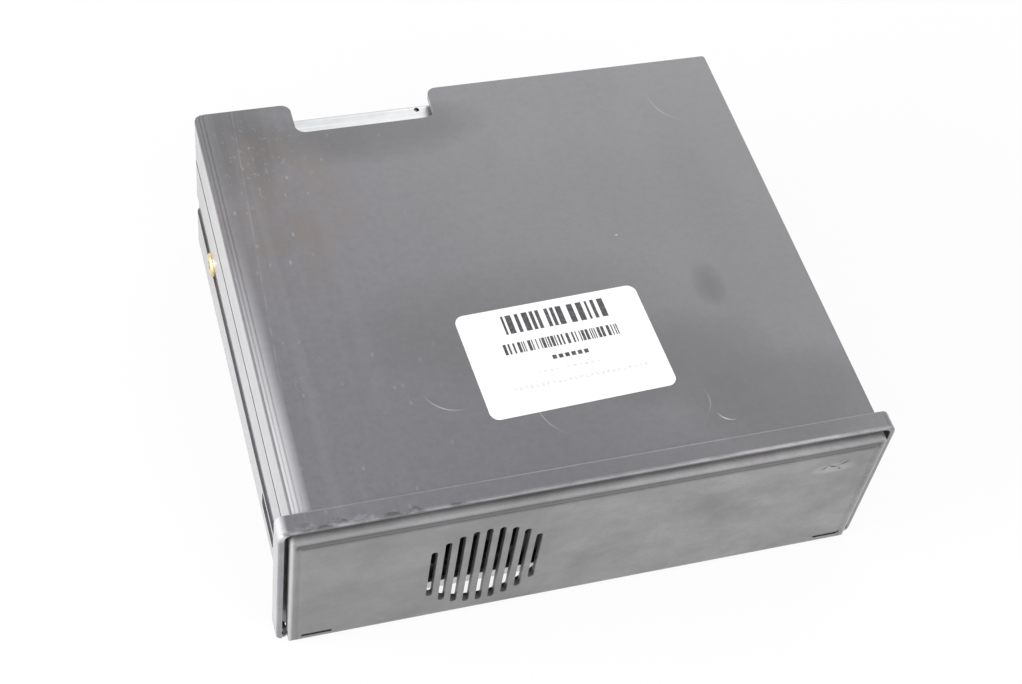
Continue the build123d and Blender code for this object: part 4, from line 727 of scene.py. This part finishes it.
class UNIT_OT_chassis(bpy.types.Operator):
    """Finishes the sheet steel and its screws"""

    bl_idname = "unit.chassis"
    bl_label = "Chassis"

    def execute(self, context):
        dress(rolled_steel("bright plated sheet", BRIGHT_METAL, (0.02, 1.0, 0.3)), "chassis_tray",
              "chassis_lid", "rear_plate")
        dress(rolled_steel("plain sheet", (0.5, 0.51, 0.52), (1.0, 0.03, 0.3), 0.34), "drive_frame",
              "drive_brackets", "clamp_arm")
        dress(plated("bright zinc", (0.66, 0.67, 0.69)), "lid_screws", "rear_screws", "fan_screws",
              "board_screws", "drive_screws")
        dress(plated("turned brass", (0.72, 0.54, 0.24)), "board_standoffs", "antenna_socket",
              "connector_pins")
        return {"FINISHED"}


class UNIT_OT_boards(bpy.types.Operator):
    """Finishes the boards and what stands on them"""

    bl_idname = "unit.boards"
    bl_label = "Boards"

    def execute(self, context):
        dress(laminate(context.scene.unit_finish), "main_board", "back_board", "button_board", "drive_board")
        dress(chip_black(), "processor", "memory_chips", "turn_sensor", "eject_switch")
        dress(rolled_steel("shielding can", (0.68, 0.68, 0.67), (1.0, 1.0, 1.0), 0.35), "satellite_receiver")
        dress(plated("drawn aluminium", BRIGHT_METAL, 0.35), "heat_sink", "capacitors")
        dress(plain_moulding("white moulding", (0.72, 0.71, 0.67), 0.4), "board_headers", "clamp_puck")
        dress(flat_film(), "drive_ribbon")
        return {"FINISHED"}


class UNIT_OT_drive(bpy.types.Operator):
    """Finishes the drive's motors, lens and rubber"""

    bl_idname = "unit.drive"
    bl_label = "Disc drive"

    def execute(self, context):
        dress(plated("motor cans", BRIGHT_METAL, 0.25), "spindle_motor", "sled_motor", "loading_motor")
        dress(soft_rubber(), "rubber_dampers", "loading_roller")
        dress(clear_lens(), "laser_lens")
        return {"FINISHED"}


class UNIT_OT_stage(bpy.types.Operator):
    """Lays the floor and sets the lamps, the world and the camera"""

    bl_idname = "unit.stage"
    bl_label = "Stage"

    def execute(self, context):
        settings = context.scene.unit_stage
        lay_floor(settings)
        light_world(settings)
        hang_lamps()
        set_camera()
        context.scene.view_settings.view_transform = "Standard"
        return {"FINISHED"}


def lay_floor(settings):
    """One flat square under the unit, mostly plain white to the camera and wholly in reflections."""
    half = settings.floor_size / 2 / MM
    corners = [(-half, -half, 0), (half, -half, 0), (half, half, 0), (-half, half, 0)]
    floor = put_mesh("floor", corners, [(0, 1, 2, 3)])
    g = Graph("pale floor")
    tone = settings.floor_tone
    cloud = g.noise(1.2, 2, 0.5)
    base = g.tint(g.ramp(cloud, 0.3, 0.7), (tone, tone, tone), (tone * 0.985, tone * 0.985, tone * 0.99))
    material = g.set(base=base, rough=0.7, specular=0.2)
    rays = g.add("ShaderNodeLightPath")
    seen = g.times(rays.outputs["Is Camera Ray"], settings.floor_glow)
    share = g.most(g.most(seen, rays.outputs["Is Glossy Ray"]), rays.outputs["Is Transmission Ray"])
    glow = g.add("ShaderNodeEmission")
    mix = g.add("ShaderNodeMixShader")
    g.join(share, mix.inputs["Fac"])
    g.join(g.shader.outputs["BSDF"], mix.inputs[1])
    g.join(glow.outputs["Emission"], mix.inputs[2])
    g.join(mix.outputs["Shader"], g.surface)
    dress(material, "floor")


def light_world(settings):
    """An even pale world, white to the camera and in reflections."""
    world = bpy.data.worlds.new("studio")
    world.use_nodes = True
    tree = world.node_tree
    tree.nodes.clear()
    output = tree.nodes.new("ShaderNodeOutputWorld")
    mix = tree.nodes.new("ShaderNodeMixShader")
    rays = tree.nodes.new("ShaderNodeLightPath")
    light = tree.nodes.new("ShaderNodeBackground")
    light.inputs["Color"].default_value = (1, 1, 1, 1)
    light.inputs["Strength"].default_value = settings.world_light
    white = tree.nodes.new("ShaderNodeBackground")
    white.inputs["Color"].default_value = (1, 1, 1, 1)
    white.inputs["Strength"].default_value = 1.0
    either = tree.nodes.new("ShaderNodeMath")
    either.operation = "MAXIMUM"
    any_ray = tree.nodes.new("ShaderNodeMath")
    any_ray.operation = "MAXIMUM"
    tree.links.new(rays.outputs["Is Camera Ray"], either.inputs[0])
    tree.links.new(rays.outputs["Is Glossy Ray"], either.inputs[1])
    tree.links.new(either.outputs["Value"], any_ray.inputs[0])
    tree.links.new(rays.outputs["Is Transmission Ray"], any_ray.inputs[1])
    tree.links.new(any_ray.outputs["Value"], mix.inputs["Fac"])
    tree.links.new(light.outputs["Background"], mix.inputs[1])
    tree.links.new(white.outputs["Background"], mix.inputs[2])
    tree.links.new(mix.outputs["Shader"], output.inputs["Surface"])
    bpy.context.scene.world = world


# Lamps: name, place and width in metres, power in watts

LAMPS = (
    ("back softbox", (0.75, 1.1, 1.0), 1.0, 4.0),
    ("left softbox", (-1.3, -0.1, 0.3), 0.9, 29.0),
    ("front softbox", (0.45, -1.15, 0.7), 1.5, 14.5),
)


def hang_lamps():
    """Large soft lamps, each turned to the unit."""
    for name, place, size, power in LAMPS:
        lamp = bpy.data.lights.new(name, "AREA")
        lamp.shape = "SQUARE"
        lamp.size = size
        lamp.energy = power
        thing = bpy.data.objects.new(name, lamp)
        thing.location = place
        thing.rotation_euler = (-Vector(place)).to_track_quat("-Z", "Y").to_euler()
        bpy.context.scene.collection.objects.link(thing)


# The camera: lens and sensor in millimetres, place in metres, turn in degrees

CAMERA_LENS = 64.267
CAMERA_SENSOR = 36.0
CAMERA_PLACE = (-0.15168, -0.34116, 0.49309)
CAMERA_TURN = (37.897, -6.3996, -15.7742)


def set_camera():
    """The photograph's place, lens and turn."""
    camera = bpy.data.cameras.new("camera")
    camera.lens = CAMERA_LENS
    camera.sensor_width = CAMERA_SENSOR
    camera.clip_start = 0.01
    thing = bpy.data.objects.new("camera", camera)
    thing.location = CAMERA_PLACE
    thing.rotation_euler = [radians(angle) for angle in CAMERA_TURN]
    bpy.context.scene.collection.objects.link(thing)
    bpy.context.scene.camera = thing


class UNIT_PT_panel(bpy.types.Panel):
    """Lists the pieces and their settings in the sidebar"""

    bl_idname = "UNIT_PT_panel"
    bl_label = "Car navigation unit"
    bl_space_type = "VIEW_3D"
    bl_region_type = "UI"
    bl_category = "Unit"

    def draw(self, context):
        for group in (context.scene.unit_finish, context.scene.unit_stage):
            for name in group.bl_rna.properties.keys():
                if name not in ("rna_type", "name"):
                    self.layout.prop(group, name)
        for step in STEPS:
            self.layout.operator(step.bl_idname)


STEPS = (UNIT_OT_cover, UNIT_OT_door, UNIT_OT_front_wall, UNIT_OT_chassis, UNIT_OT_boards, UNIT_OT_drive,
         UNIT_OT_stage)
CLASSES = (UnitFinish, UnitStage, *STEPS, UNIT_PT_panel)


def register():
    """Adds the classes and their settings."""
    for item in CLASSES:
        bpy.utils.register_class(item)
    bpy.types.Scene.unit_finish = bpy.props.PointerProperty(type=UnitFinish)
    bpy.types.Scene.unit_stage = bpy.props.PointerProperty(type=UnitStage)


def unregister():
    """Removes them again."""
    del bpy.types.Scene.unit_stage
    del bpy.types.Scene.unit_finish
    for item in reversed(CLASSES):
        bpy.utils.unregister_class(item)


def main():
    """Makes every piece in order."""
    register()
    for step in STEPS:
        family, name = step.bl_idname.split(".")
        getattr(getattr(bpy.ops, family), name)()


if __name__ == "__main__":
    main()
